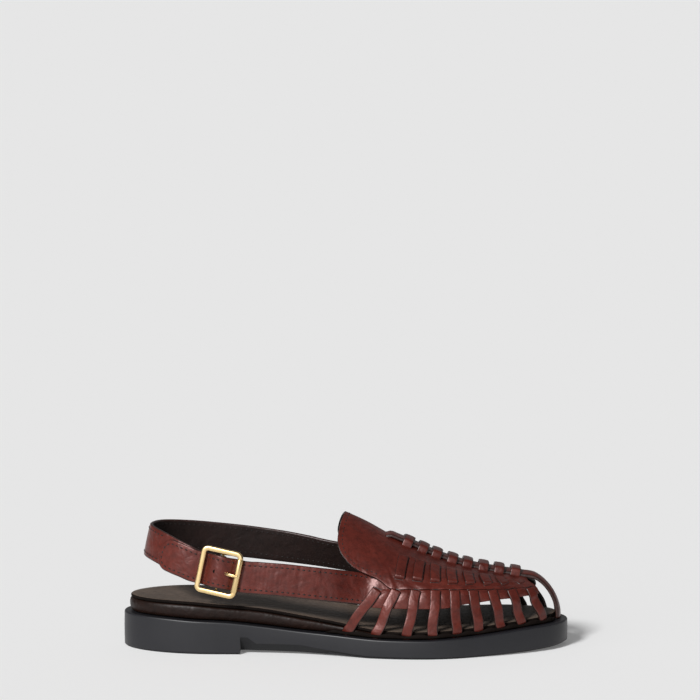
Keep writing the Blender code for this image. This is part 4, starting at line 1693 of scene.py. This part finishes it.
            # By the toe they sink into the plug.
            proud = 0.3 - 0.65 * max(0, number - self.toe_from + 1)
            stations = []
            for t in steps(0.0, 1.0, 31):
                r = low + (high - low) * t
                rise = ramp(t, 0.0, turn) * (1 - ramp(t, 1 - turn, 1.0))
                pose = self.last.pose(line, r, side)
                stations.append(Station(pose, -0.8 + (self.last.strip + 0.8 + proud) * rise))
            made.append(ribbon(stations, self.strip_section()))
        add_piece("strip_tabs", join(made), self.wardrobe.leather)

    def slits(self) -> None:
        """Dark bars across the slits that the strips go in and out of: the inked cut edge, with painted shade
        for the slit's groove.
        """
        section = Section(0.75, 0.5, 0.24, across=1, arc=2)
        made = []
        for side, number in product(Side, range(1, self.strips + 1)):
            line = float(number)
            start = self.bump_end(line, side)
            reach = self.last.fan(line).edge - start
            # At the shoulder, beside the crossing, and at the tab's lower end, which by the toe has none.
            places = [0.998]
            if number > 1:
                places.append(start + reach * 0.265)
            if 1 < number < self.toe_from:
                places.append(start + reach * 0.845)
            for r in places:
                pose = self.last.pose(line, r, side)
                stations = []
                for w in steps(-0.52, 0.52, 7):
                    point = pose.at(across=w * self.strip_width, out=0.1)
                    stations.append(Station(Pose(point, pose.across, -pose.along, pose.out)))
                made.append(ribbon(stations, section))
        add_piece("slit_edges_and_shade", join(made), [self.wardrobe.edge] * 3)

    def centre_strap(self) -> None:
        """Strap down the middle: out of a slit in the tongue, under the crossings and round the toe."""
        axis = self.last.plan.axis
        slit = ((24.0, 2.3), (25.2, 1.4), (26.6, 0.3))    # x, and how deep the strap still lies in the slit
        profile = [Vector((x, 0.0, self.last.crest(x) - sink)) for x, sink in slit]
        profile += [Vector((x, 0.0, self.last.crest(x) + 0.02)) for x in steps(28.0, 106.0, 40)]
        profile += [Vector((row.x, 0.0, row.z)) for row in TOE_RUN]
        walked = walk(profile)
        x_by = Curve(walked, [p.x for p in profile])
        z_by = Curve(walked, [p.z for p in profile])
        stations = []
        for s in steps(0.0, walked[-1], 130):
            along = Vector((x_by(s + 0.5) - x_by(s - 0.5), 0.0, z_by(s + 0.5) - z_by(s - 0.5))).normalized()
            point = Vector((x_by(s), axis, z_by(s)))
            pose = Pose(point, along, Vector((0, 1, 0)), Vector((-along.z, 0, along.x)))
            stations.append(Station(pose, self.centre_thick))
        bm = ribbon(stations, Section(self.centre_width, self.centre_thick, 0.75, across=12, arc=3))
        self.bow(bm)
        add_piece("centre_strap", bm, self.wardrobe.leather)

    def bow(self, bm: bmesh.types.BMesh) -> None:
        """Bend the centre strap's sides down over the last's crown.

        Args:
            bm: the strap's mesh.
        """
        axis = self.last.plan.axis
        radius = Curve((60.0, 109.0), (self.centre_round, self.toe_round))
        for vert in bm.verts:
            away = (vert.co.y - axis) ** 2 / (2 * radius(vert.co.x))
            forward = ramp(vert.co.x, 108.0, 126.0)
            vert.co.z -= away * (1 - forward)
            vert.co.x -= away * forward

    def tongue_stitches(self) -> None:
        """Stitches along the tongue's back and lower edges."""
        made = []
        for side in Side:
            poses = []
            for share in steps(0.0, 1.0, 60):
                line = self.tongue_line(0.0, share)
                poses.append(self.edge_pose(line, share, side, back=True))
            for line in steps(self.corner, 1.0, 30)[1:]:
                poses.append(self.edge_pose(line, 1.0, side, back=False))
            made.append(Stitch(pitch=2.9, length=1.8, width=0.6).row(poses))
        add_piece("tongue_stitches", join(made), [self.wardrobe.thread])

    def edge_pose(self, line: float, share: float, side: Side, back: bool) -> Pose:
        """Pose on the tongue, moved in from its edge by the stitches' inset.

        Args:
            line: line at the edge.
            share: share of the way to the plug's edge.
            side: which side of the shoe.
            back: whether this is the back edge and not the lower one.

        Returns:
            The pose.
        """
        last = self.last
        r = share * self.edge_r(line)
        near = min(r, 0.98)
        forward = (last.point(line + 0.05, r, side) - last.point(line, r, side)).length / 0.05
        down = (last.point(line, near + 0.02, side) - last.point(line, near - 0.02, side)).length / 0.04
        turn = self.corner_turn(share) if back else 1.0
        move_line = self.stitch_inset * math.sqrt(max(0.0, 1 - turn**2)) / forward
        move_r = self.stitch_inset * turn / down
        return last.pose(line + move_line, max(r - move_r, 0.0), side)

    def lasting_roll(self) -> None:
        """Leather turned under at the sole, welling up between the feet of the strips; drawn near black as
        painted shade in the gaps between them.
        """
        plan = self.last.plan
        made = []
        for side in Side:
            stations = []
            for line in steps(0.5, 9.9, 280):
                x = self.last.fan(line).feather
                between = between_strips(line)
                half = plan.foot_half(x, side, self.roll_inset)
                ahead = plan.foot_half(x + 0.5, side, self.roll_inset)
                behind = plan.foot_half(x - 0.5, side, self.roll_inset)
                along = Vector((1.0, side.value * (ahead - behind), 0.0)).normalized()
                across = Vector((-along.y, along.x, 0.0))
                point = Vector((x, plan.axis + side.value * half, plan.rim_height(x) + 0.3))
                tall = (0.6 + 0.4 * between) * (0.15 + 0.85 * ramp(line, 0.5, 0.75))
                pose = Pose(point, along, across, Vector((0, 0, 1)))
                stations.append(Station(pose, self.roll_height * tall, 0.75 + 0.25 * between, tall))
            made.append(ribbon(stations, Section(2.4, self.roll_height, 1.1, across=2, arc=4)))
        add_piece("lasting_roll", join(made), [self.wardrobe.raw] * 3)


# Slingback ------------------------------------------------


class StrapRow(NamedTuple):
    """Middle of the strap's outer face, and the degrees that its top leans in."""

    x: float
    y: float
    z: float
    lean: float


STRAP = (
    StrapRow(27.0, -31.7, 36.8, 25.0), StrapRow(19.0, -30.9, 37.7, 22.5), StrapRow(12.0, -29.2, 38.7, 20.5),
    StrapRow(3.0, -30.9, 40.1, 13.0), StrapRow(-9.0, -34.6, 42.0, 9.0), StrapRow(-34.0, -35.8, 45.0, 7.0),
    StrapRow(-58.0, -33.5, 47.9, 6.0), StrapRow(-74.0, -31.1, 50.7, 6.0), StrapRow(-88.0, -27.6, 53.8, 7.0),
    StrapRow(-101.0, -22.0, 58.0, 9.0), StrapRow(-112.0, -13.0, 61.7, 11.0),
    StrapRow(-117.8, -3.0, 63.2, 12.0), StrapRow(-118.6, 6.0, 63.6, 12.0),
    StrapRow(-114.6, 16.5, 63.4, 11.0), StrapRow(-106.0, 25.0, 62.4, 10.0),
    StrapRow(-92.0, 31.6, 60.6, 8.0), StrapRow(-76.0, 35.0, 58.6, 7.0), StrapRow(-58.0, 36.2, 56.5, 8.0),
    StrapRow(-38.0, 34.6, 54.2, 13.0), StrapRow(-22.0, 31.0, 52.4, 20.0), StrapRow(-9.0, 27.4, 50.6, 26.0),
    StrapRow(8.0, 25.2, 48.0, 28.0), StrapRow(17.0, 25.5, 46.0, 29.0), StrapRow(27.0, 25.8, 44.0, 33.0),
)


class Layer(NamedTuple):
    """Depth of a strap's outer and inner faces at s, by the buckle."""

    s: float
    top: float
    low: float


@dataclass(frozen=True)
class BuckleSize:
    """Sizes of the buckle, and the depths that it gives to the straps in it."""

    length: float = 25.2       # along the strap
    height: float = 28.0
    drop: float = 1.3          # it hangs this much lower than the strap's middle
    bar: float = 1.45          # radius of the frame
    roller: float = 1.9        # radius of the roller
    pin: float = 0.8           # radius of the centre bar
    set_back: float = 3.0      # the centre bar lies this far behind the frame
    square: float = 3.6        # the frame's bar is round at 2, and squarer above
    corner: float = 2.6
    lug: float = 1.15          # radius of the lugs that carry the centre bar
    lug_end: float = 1.0       # they reach this far behind the centre bar's middle
    roller_wall: float = 0.4
    gap: float = 0.3
    prong_width: float = 1.8
    prong_thick: float = 0.8
    skived: float = 1.0        # thickness of the strap's end where it is folded

    @property
    def frame_depth(self) -> float:
        """Middle of the frame."""
        return self.roller + self.gap

    @property
    def pin_depth(self) -> float:
        """Middle of the centre bar."""
        return self.frame_depth - self.set_back

    @property
    def over_pin(self) -> float:
        """Inner face of the strap's end where it lies over the centre bar."""
        return self.pin_depth + self.pin + self.gap + self.skived + self.gap + 0.1

    @property
    def under_bar(self) -> float:
        """Outer face of the strap's end under the back bar."""
        return self.frame_depth - self.bar - self.gap


@dataclass(frozen=True)
class StrapLine:
    """Line that the two straps follow; s is 0 in the buckle and grows forwards on the outer side."""

    buckle_at: int = 7         # row of the table where the buckle sits
    samples: int = 12          # points from row to row
    straight: float = 13.0     # the strap is flat this far each way from the buckle's middle
    blend: float = 9.0         # and goes over into its curve along this length

    def __post_init__(self) -> None:
        """Walk the table's smooth line and keep its points by the distance from the buckle."""
        curves = [Curve(range(len(STRAP)), [row[n] for row in STRAP]) for n in range(4)]
        count = (len(STRAP) - 1) * self.samples + 1
        places = [[curve(k / self.samples) for curve in curves] for k in range(count)]
        walked = walk([Vector(place[:3]) for place in places])
        zero = walked[self.buckle_at * self.samples]
        keys = [zero - length for length in walked][::-1]
        object.__setattr__(self, "by", [Curve(keys, [p[n] for p in places][::-1]) for n in range(4)])
        object.__setattr__(self, "start", keys[0])
        object.__setattr__(self, "end", keys[-1])
        object.__setattr__(self, "buckle", self.free_pose(0.0))

    def free_pose(self, s: float) -> Pose:
        """Pose on the curved line, with the strap's width as its across.

        Args:
            s: place along the line.

        Returns:
            The pose.
        """
        point = Vector([curve(s) for curve in self.by[:3]])
        ahead = Vector([curve(s + 1.0) for curve in self.by[:3]])
        behind = Vector([curve(s - 1.0) for curve in self.by[:3]])
        along = (ahead - behind).normalized()
        flat = Vector((along.y, -along.x, 0.0)).normalized()
        lean = math.radians(self.by[3](s))
        across = Vector((0.0, 0.0, math.cos(lean))) - flat * math.sin(lean)
        across = (across - along * across.dot(along)).normalized()
        return Pose(point, along, across, along.cross(across))

    def pose(self, s: float) -> Pose:
        """Pose on the line, flat where the strap lies in the buckle.

        Args:
            s: place along the line.

        Returns:
            The pose.
        """
        t = ramp(abs(s), self.straight, self.straight + self.blend)
        free = self.free_pose(s)
        flat = self.buckle
        return Pose(
            flat.at(along=s).lerp(free.point, t),
            flat.along.lerp(free.along, t).normalized(),
            flat.across.lerp(free.across, t).normalized(),
            flat.out.lerp(free.out, t).normalized(),
        )


@dataclass
class Slingback:
    """Heel strap in two lengths, with its stitches and holes."""

    line: StrapLine
    buckle: BuckleSize
    wardrobe: Wardrobe
    width: float = 19.2
    thick: float = 1.9
    tail: float = 38.5             # length of the end piece from the buckle's middle
    tip_over: float = 0.8          # the soft tip reaches this much further
    tip_round: float = 9.0         # length of the tail's round tip
    tip_power: float = 2.4         # 2 is an ellipse, and more is blunter
    stitch_inset: float = 2.5
    proud: float = 0.1             # the face's crown lifts the stitches this much
    row_turn: float = 6.5          # length of the stitches' turn round the tail's tip
    holes: tuple[float, ...] = (-2.2, 5.4)    # s of each
    hole_radius: float = 1.15
    hole_stand: float = 0.26       # their pressed edges lie just clear of the face's crown
    inner_fullness: float = 1.0    # how much wider the leather has spread along the inner side

    def build(self) -> None:
        """Make the straps and what is sewn and punched in them."""
        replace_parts(self.front(), "strap_front")
        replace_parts(self.back(), "strap_back")
        self.stitches()
        self.punched_holes()

    def section(self) -> Section:
        """Section of the strap: two leathers with a rounded, inked edge."""
        return Section(self.width, self.thick, 0.7, crown=0.22, across=10, arc=3)

    def lowered(self, s: float) -> float:
        """Height of the strap's middle off its line, below 0 where it follows the buckle."""
        return -self.buckle.drop * (1 - ramp(s, 11.0, 44.0))

    def front_depth(self) -> tuple[Curve, Curve]:
        """Depths of the front strap's faces.

        Returns:
            Curves of its outer and inner face by s.
        """
        b, t = self.buckle, self.thick
        # On the back strap, under the back bar, over the fold on the centre bar, and down to the line.
        layers = (
            Layer(-self.tail, t + b.gap, b.gap), Layer(-22.0, t + b.gap, b.gap),
            Layer(-13.0, b.under_bar, b.under_bar - t), Layer(-8.6, b.under_bar, b.under_bar - t),
            Layer(-5.2, b.over_pin + 0.7, b.over_pin - 1.1), Layer(-2.0, b.over_pin + t, b.over_pin),
            Layer(1.8, b.over_pin + t, b.over_pin), Layer(5.8, t, 0.0), Layer(8.4, 0.0, -t),
            Layer(14.0, 0.0, -t),
        )
        curves = columns(layers)
        return curves["top"], curves["low"]

    def front(self) -> Object:
        """Strap from the vamp's outer side through the buckle, with its round tip on the back strap.

        Returns:
            The piece.
        """
        top, low = self.front_depth()
        tip = -self.tail - self.tip_over
        stations = []
        for s in [tip + self.tip_round * (1 - math.cos(math.radians(a))) for a in range(4, 90, 6)]:
            stations.append(self.front_station(s, tip, top, low))
        for s in steps(tip + self.tip_round, 14.0, 60) + steps(15.0, self.line.end, 190):
            stations.append(self.front_station(s, tip, top, low))
        bm = ribbon(stations, self.section())
        return add_piece("front_strap", bm, self.wardrobe.leather)

    def front_station(self, s: float, tip: float, top: Curve, low: Curve) -> Station:
        """Station of the front strap.

        Args:
            s: place along the line.
            tip: s of the tail's end.
            top: depth of its outer face.
            low: depth of its inner face.

        Returns:
            The station.
        """
        pose = self.line.pose(s).moved(across=self.lowered(s))
        back = max(0.0, (tip + self.tip_round - s) / self.tip_round)
        narrow = (1 - min(back, 1.0) ** self.tip_power) ** (1 / self.tip_power)
        return Station(pose, top(s) + self.crease(s), max(narrow, 0.04), (top(s) - low(s)) / self.thick)

    def crease(self, s: float) -> float:
        """Depth of the creases ahead of the buckle, where the strap is bent each time it is fastened.

        Args:
            s: place along the line.

        Returns:
            Height in millimetres, below 0 in a crease.
        """
        made = 0.0
        soft = ((47.0, 0.2), (60.0, 0.14), (74.0, 0.12))    # place and depth of each
        fine = (
            (19.5, 0.05), (22.4, 0.08), (24.6, 0.05), (27.3, 0.09), (29.4, 0.06), (32.6, 0.08), (35.5, 0.05),
            (39.6, 0.07),
        )
        for places, width in ((soft, 1.7), (fine, 0.75)):
            for place, depth in places:
                made -= depth * math.exp(-(((s - place) / width) ** 2))
        return made

    def back(self) -> Object:
        """Strap from the vamp's inner side round the heel, folded round the buckle's centre bar.

        Returns:
            The piece.
        """
        b, t = self.buckle, self.thick
        under = b.under_bar - t - b.gap
        at_pin = b.pin_depth - b.pin - b.gap
        layers = (
            Layer(-22.0, 0.0, -t), Layer(-13.0, under, under - t), Layer(-7.5, under, under - t + 0.4),
            Layer(-3.0, at_pin, at_pin - b.skived),
        )
        curves = columns(layers)
        stations = []
        for s in steps(self.line.start, -22.0, 150) + steps(-21.0, -3.0, 19):
            pose = self.line.pose(s)
            full = self.inner_fullness * ramp(pose.point.y, 2.0, 24.0)
            pose = pose.moved(across=self.lowered(-s) - full / 2)
            top, low = curves["top"](s), curves["low"](s)
            stations.append(Station(pose, top, 1.0 + full / self.width, (top - low) / t))
        stations += self.fold()
        bm = ribbon(stations, self.section())
        return add_piece("back_strap", bm, self.wardrobe.leather)

    def fold(self) -> list[Station]:
        """Stations of the skived end, folded round the centre bar.

        Returns:
            The stations, from under the bar to over it.
        """
        b = self.buckle
        pose = self.line.buckle
        outside = b.pin + b.gap
        centre = pose.at(across=self.lowered(0.0), out=b.pin_depth)
        found = []
        for degrees in range(-90, 111, 10):
            turn = math.radians(degrees)
            away = pose.along * math.cos(turn) + pose.out * math.sin(turn)
            along = pose.out * math.cos(turn) - pose.along * math.sin(turn)
            folded = Pose(centre + away * outside, along, pose.across, -away)
            found.append(Station(folded, thin=b.skived / self.thick))
        return found

    def stitch_poses(
        self,
        places: Sequence[float],
        across: float,
        depth: Callable[[float], float],
    ) -> list[Pose]:
        """Poses of a row of stitches along a strap.

        Args:
            places: s along the line.
            across: how far from the strap's middle the row runs.
            depth: height of the leather's face at s; stitches on the lining have it inside.

        Returns:
            The poses.
        """
        poses = []
        for s in places:
            row = across + (self.lowered(s) if s > -self.tail else 0.0)
            poses.append(self.line.pose(s).moved(across=row, out=depth(s)))
        return poses

    def stitches(self) -> None:
        """Stitches along both edges of the straps, on face and lining, and round the tail's tip."""
        sew, under = Stitch(), Stitch(width=0.6, stand=-0.05)
        across = self.width / 2 - self.stitch_inset
        top, _ = self.front_depth()
        tip = -self.tail - self.tip_over + self.stitch_inset
        rows = (
            (steps(tip + self.row_turn, -11.5, 30), lambda s: top(s) + self.proud),
            (steps(-9.0, 9.5, 24), lambda s: top(s) + self.proud),
            (steps(12.0, self.line.end - 1.0, 140), lambda s: self.crease(s) + self.proud),
            (steps(self.line.start, -self.tail - 1.5, 220), lambda s: self.proud),
        )
        made = []
        for sign in (-1, 1):
            for places, depth in rows:
                made.append(sew.row(self.stitch_poses(places, sign * across, depth)))
            for places in (steps(self.line.start, -14.0, 240), steps(14.0, self.line.end, 120)):
                made.append(self.inside_row(under, places, sign * across))
        made.append(self.tip_row(sew, across, tip, top))
        add_piece("strap_stitches", join(made), [self.wardrobe.thread])

    def inside_row(self, sew: Stitch, places: Sequence[float], across: float) -> bmesh.types.BMesh:
        """Row of stitches on the lining.

        Args:
            sew: the stitch.
            places: s along the line.
            across: how far from the strap's middle the row runs.

        Returns:
            Its threads.
        """
        poses = self.stitch_poses(places, across, lambda s: -self.thick)
        return sew.row([Pose(p.point, p.along, p.across, -p.out) for p in poses])

    def tip_row(self, sew: Stitch, across: float, tip: float, top: Curve) -> bmesh.types.BMesh:
        """Stitches round the tail's tip.

        Args:
            sew: the stitch.
            across: half the distance between the two long rows.
            tip: s where the row turns.
            top: depth of the strap's outer face.

        Returns:
            Their threads.
        """
        poses = []
        for angle in steps(90.0, 270.0, 60):
            turn = math.radians(angle)
            round_s = math.copysign(abs(math.cos(turn)) ** 0.8, math.cos(turn))
            round_w = math.copysign(abs(math.sin(turn)) ** 0.8, math.sin(turn))
            s = tip + self.row_turn + self.row_turn * round_s
            w = across * round_w + self.lowered(s)
            poses.append(self.line.pose(s).moved(across=w, out=top(s) + self.proud))
        return sew.row(poses)

    def punched_holes(self) -> None:
        """Holes punched in the strap's end, each drawn as a flat near-black disc with a pressed edge: painted
        shade for the pit.
        """
        top, _ = self.front_depth()
        made = []
        for s in self.holes:
            pose = self.line.pose(s)
            turn = Matrix((pose.along, pose.across, pose.out)).transposed().to_4x4()
            place = Matrix.Translation(pose.at(across=self.lowered(s), out=top(s) + self.hole_stand)) @ turn
            bm = bmesh.new()
            bmesh.ops.create_circle(bm, cap_ends=True, segments=20, radius=self.hole_radius, matrix=place)
            bmesh.ops.inset_region(bm, faces=bm.faces[:], thickness=0.22, depth=-0.06)
            made.append(bm)
        add_piece("punched_holes", join(made), [self.wardrobe.raw])


@dataclass
class Buckle:
    """Roller buckle: frame with a centre bar, the roller on its front bar, and the prong."""

    line: StrapLine
    size: BuckleSize
    wardrobe: Wardrobe

    def build(self) -> None:
        """Make the three metal pieces."""
        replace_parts(self.ring(), "buckle_frame")
        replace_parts(self.roller(), "buckle_roller")
        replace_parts(self.prong(), "buckle_prong")

    def at(self, s: float, w: float, depth: float) -> Vector:
        """Point in the buckle.

        Args:
            s: forwards from its middle.
            w: up from its middle.
            depth: out of the strap's face.

        Returns:
            The point.
        """
        return self.line.buckle.at(along=s, across=w - self.size.drop, out=depth)

    def ring(self) -> Object:
        """Rounded rectangular frame of soft-cornered bar, with the lugs and the centre bar behind it.

        Returns:
            The piece.
        """
        size = self.size
        half_s, half_w = size.length / 2 - size.bar, size.height / 2 - size.bar
        path = []
        for quarter, (sign_s, sign_w) in enumerate(((1, 1), (-1, 1), (-1, -1), (1, -1))):
            for angle in steps(0.0, 90.0, 8):
                turn = math.radians(90 * quarter + angle)
                away = Vector((math.cos(turn), math.sin(turn), 0.0))
                centre_s = sign_s * (half_s - size.corner)
                centre_w = sign_w * (half_w - size.corner)
                path.append((Vector((centre_s, centre_w, size.frame_depth)) + away * size.corner, away))
        path.append(path[0])
        turns = [2 * math.pi * n / 20 for n in range(21)]

        def place(stop: tuple[Vector, Vector], turn: float) -> Vector:
            """Place a point of the frame, whose bar is a soft square, flatter on its face.

            Args:
                stop: the bar's middle and the way out of the frame.
                turn: angle round the bar.

            Returns:
                The point.
            """
            centre, away = stop
            c, s = math.cos(turn), math.sin(turn)
            soft = (abs(c) ** size.square + abs(s) ** size.square) ** (-1 / size.square)
            out = away * (c * soft * size.bar * 1.06) + Vector((0, 0, 1)) * (s * soft * size.bar * 0.9)
            return self.at(*(centre + out))

        bars = [closed(bent_grid(path, turns, place))]
        for sign in (-1, 1):
            start = (0, sign * half_w, size.pin_depth - size.lug_end)
            bars.append(self.rod(start, (0, sign * half_w, size.frame_depth), size.lug))
        bars.append(self.rod((0, -half_w, size.pin_depth), (0, half_w, size.pin_depth), size.pin))
        return add_piece("buckle_ring", join(bars), [self.wardrobe.brass])

    def rod(self, start: Sequence[float], end: Sequence[float], radius: float) -> bmesh.types.BMesh:
        """Round rod between two points of the buckle.

        Args:
            start: s, w and depth of one end.
            end: those of the other.
            radius: of the rod.

        Returns:
            The rod.
        """
        a, b = self.at(*start), self.at(*end)
        turn = (b - a).to_track_quat("Z", "Y").to_matrix().to_4x4()
        bm = bmesh.new()
        bmesh.ops.create_cone(
            bm,
            cap_ends=True,
            segments=18,
            radius1=radius,
            radius2=radius,
            depth=(b - a).length,
            matrix=Matrix.Translation((a + b) / 2) @ turn,
        )
        return bm

    def roller(self) -> Object:
        """Rolled plate on the front bar, with its ends turned in a little.

        Returns:
            The piece.
        """
        size = self.size
        middle = size.length / 2 - size.bar
        half = size.height / 2 - size.bar - size.corner
        bore = size.roller - size.roller_wall
        profile = (
            (-half, bore), (-half, size.roller - 0.35), (-half + 0.12, size.roller - 0.1),
            (-half + 0.4, size.roller), (0.0, size.roller), (half - 0.4, size.roller),
            (half - 0.12, size.roller - 0.1), (half, size.roller - 0.35), (half, bore), (-half, bore),
        )
        turns = [2 * math.pi * n / 28 for n in range(29)]

        def place(corner: tuple[float, float], turn: float) -> Vector:
            """Turn a point of the profile about the front bar."""
            w, radius = corner
            return self.at(middle + radius * math.cos(turn), w, size.frame_depth + radius * math.sin(turn))

        bm = closed(bent_grid(profile, turns, place))
        return add_piece("brass_roller", bm, [self.wardrobe.brass])

    def prong(self) -> Object:
        """Prong looped round the centre bar, with its point on the roller.

        Returns:
            The piece.
        """
        size = self.size
        ring = size.pin + size.gap + size.prong_thick / 2
        path = []
        for degrees in range(110, 351, 12):
            turn = math.radians(degrees)
            path.append(Vector((math.cos(turn) * ring, size.pin_depth + math.sin(turn) * ring)))
        # s and depth of the arm's middle: up out of the strap, over the bar and down on the roller.
        knots = ((1.6, 0.3), (2.9, 1.7), (4.4, 3.1), (6.2, 4.4), (8.6, 4.85), (12.2, 4.75))
        arm = Curve([s for s, _ in knots], [depth for _, depth in knots])
        path += [Vector((s, arm(s))) for s in steps(1.6, 12.2, 24)]
        stations = []
        buckle = self.line.buckle
        for n, (s, depth) in enumerate(path):
            flat = path[min(n + 1, len(path) - 1)] - path[max(n - 1, 0)]
            along = (buckle.along * flat.x + buckle.out * flat.y).normalized()
            out = along.cross(buckle.across).normalized()
            narrow = 1.0 - 0.35 * ramp(s, 8.6, 12.2)
            pose = Pose(self.at(s, 0.0, depth), along, buckle.across, out)
            stations.append(Station(pose, size.prong_thick / 2, narrow))
        section = Section(size.prong_width, size.prong_thick, 0.36, across=2, arc=3)
        bm = ribbon(stations, section)
        return add_piece("brass_prong", bm, [self.wardrobe.brass] * 3)


# Studio ---------------------------------------------------


@dataclass(frozen=True)
class SoftBox:
    """Far soft light."""

    way: tuple[float, float, float]    # towards it
    edge: float                        # cosine of the angle from its middle where it fades out
    core: float                        # and where it is at its full power
    power: float


@dataclass(frozen=True)
class Studio:
    """Pale floor, soft light and the camera."""

    camera_place: tuple[float, float, float] = (0.0024, -1.95755, 0.39874)
    camera_tilt: float = 83.541        # degrees; 90 is level
    lens: float = 170.9
    sensor: float = 36.0
    floor: PaperSweep = PaperSweep("studio_paper", "dfdfdf", 0.13)
    walls: float = 0.1
    boxes: tuple[SoftBox, ...] = (
        SoftBox((0.0, 1.0, 0.25), 0.3, 0.95, 0.17),
        SoftBox((-0.8, -0.65, 0.5), 0.85, 0.97, 0.5),
        SoftBox((-0.2, -1.0, 0.3), 0.8, 0.98, 1.15),
    )
    sun_from: tuple[float, float, float] = (-0.62, -0.98, 0.8)
    sun_width: float = 13.0
    sun_power: float = 3.6

    def build(self) -> None:
        """Set up the studio."""
        bpy.context.scene.view_settings.view_transform = "Standard"
        self.add_camera()
        self.add_floor()
        self.add_world()
        self.add_sun()

    def add_camera(self) -> None:
        """Make the camera and look through it."""
        lens = bpy.data.cameras.new("camera")
        lens.lens = self.lens
        lens.sensor_width = self.sensor
        lens.clip_end = 100.0
        camera = bpy.data.objects.new("camera", lens)
        camera.location = self.camera_place
        camera.rotation_euler = (math.radians(self.camera_tilt), 0.0, 0.0)
        bpy.context.scene.collection.objects.link(camera)
        bpy.context.scene.camera = camera

    def add_floor(self) -> None:
        """Make the floor that the shoe stands on."""
        bm = bmesh.new()
        bmesh.ops.create_grid(bm, x_segments=4, y_segments=4, size=60.0)
        mesh = bpy.data.meshes.new("floor")
        bm.to_mesh(mesh)
        bm.free()
        mesh.materials.append(self.floor.build())
        floor = bpy.data.objects.new("floor", mesh)
        floor.location.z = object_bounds()[0][2]
        bpy.context.scene.collection.objects.link(floor)
        floor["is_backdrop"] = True

    def add_world(self) -> None:
        """Light the room: dim walls and the soft boxes."""
        world = bpy.data.worlds.new("studio")
        world.use_nodes = True
        world.node_tree.nodes.clear()
        add = partial(add_node, world.node_tree)
        way = add("ShaderNodeTexCoord").outputs["Generated"]
        total: NodeSocket | None = None
        for box in self.boxes:
            facing_box = add(
                "ShaderNodeVectorMath", {0: way, 1: Vector(box.way).normalized()}, operation="DOT_PRODUCT"
            )
            glow = add(
                "ShaderNodeMapRange",
                {
                    "Value": facing_box.outputs["Value"],
                    "From Min": box.edge,
                    "From Max": box.core,
                    "To Max": box.power,
                },
                interpolation_type="SMOOTHSTEP",
            )
            start = self.walls if total is None else total
            total = add("ShaderNodeMath", {0: glow.outputs["Result"], 1: start}, operation="ADD").outputs[0]
        light = add("ShaderNodeBackground", {"Color": (1.0, 1.0, 1.0, 1.0), "Strength": total})
        add("ShaderNodeOutputWorld", {"Surface": light.outputs[0]})
        bpy.context.scene.world = world

    def add_sun(self) -> None:
        """Add the key light: wide, high and from the left, so that its shadow falls soft behind the toe."""
        made = bpy.data.lights.new("key", "SUN")
        made.angle = math.radians(self.sun_width)
        made.energy = self.sun_power
        lamp = bpy.data.objects.new("key", made)
        lamp.rotation_euler = (-Vector(self.sun_from)).to_track_quat("-Z", "Y").to_euler()
        bpy.context.scene.collection.objects.link(lamp)


def write_sizes() -> None:
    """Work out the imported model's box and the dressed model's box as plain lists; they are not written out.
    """
    boxes = {"cad": CAD_BOUNDS, "visual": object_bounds()}
    plain = {name: [list(corner) for corner in box] for name, box in boxes.items()}


def main() -> None:
    """Dress the shoe and set up the studio."""
    logging.basicConfig(level=logging.INFO, format="%(name)s %(message)s")
    Studio().build()
    wardrobe = Wardrobe()
    plan = Plan()
    Sole(plan, wardrobe).build()
    Vamp(Last(plan), wardrobe).build()
    line, size = StrapLine(), BuckleSize()
    Slingback(line, size, wardrobe).build()
    Buckle(line, size, wardrobe).build()
    write_sizes()


if __name__ == "__main__":
    main()
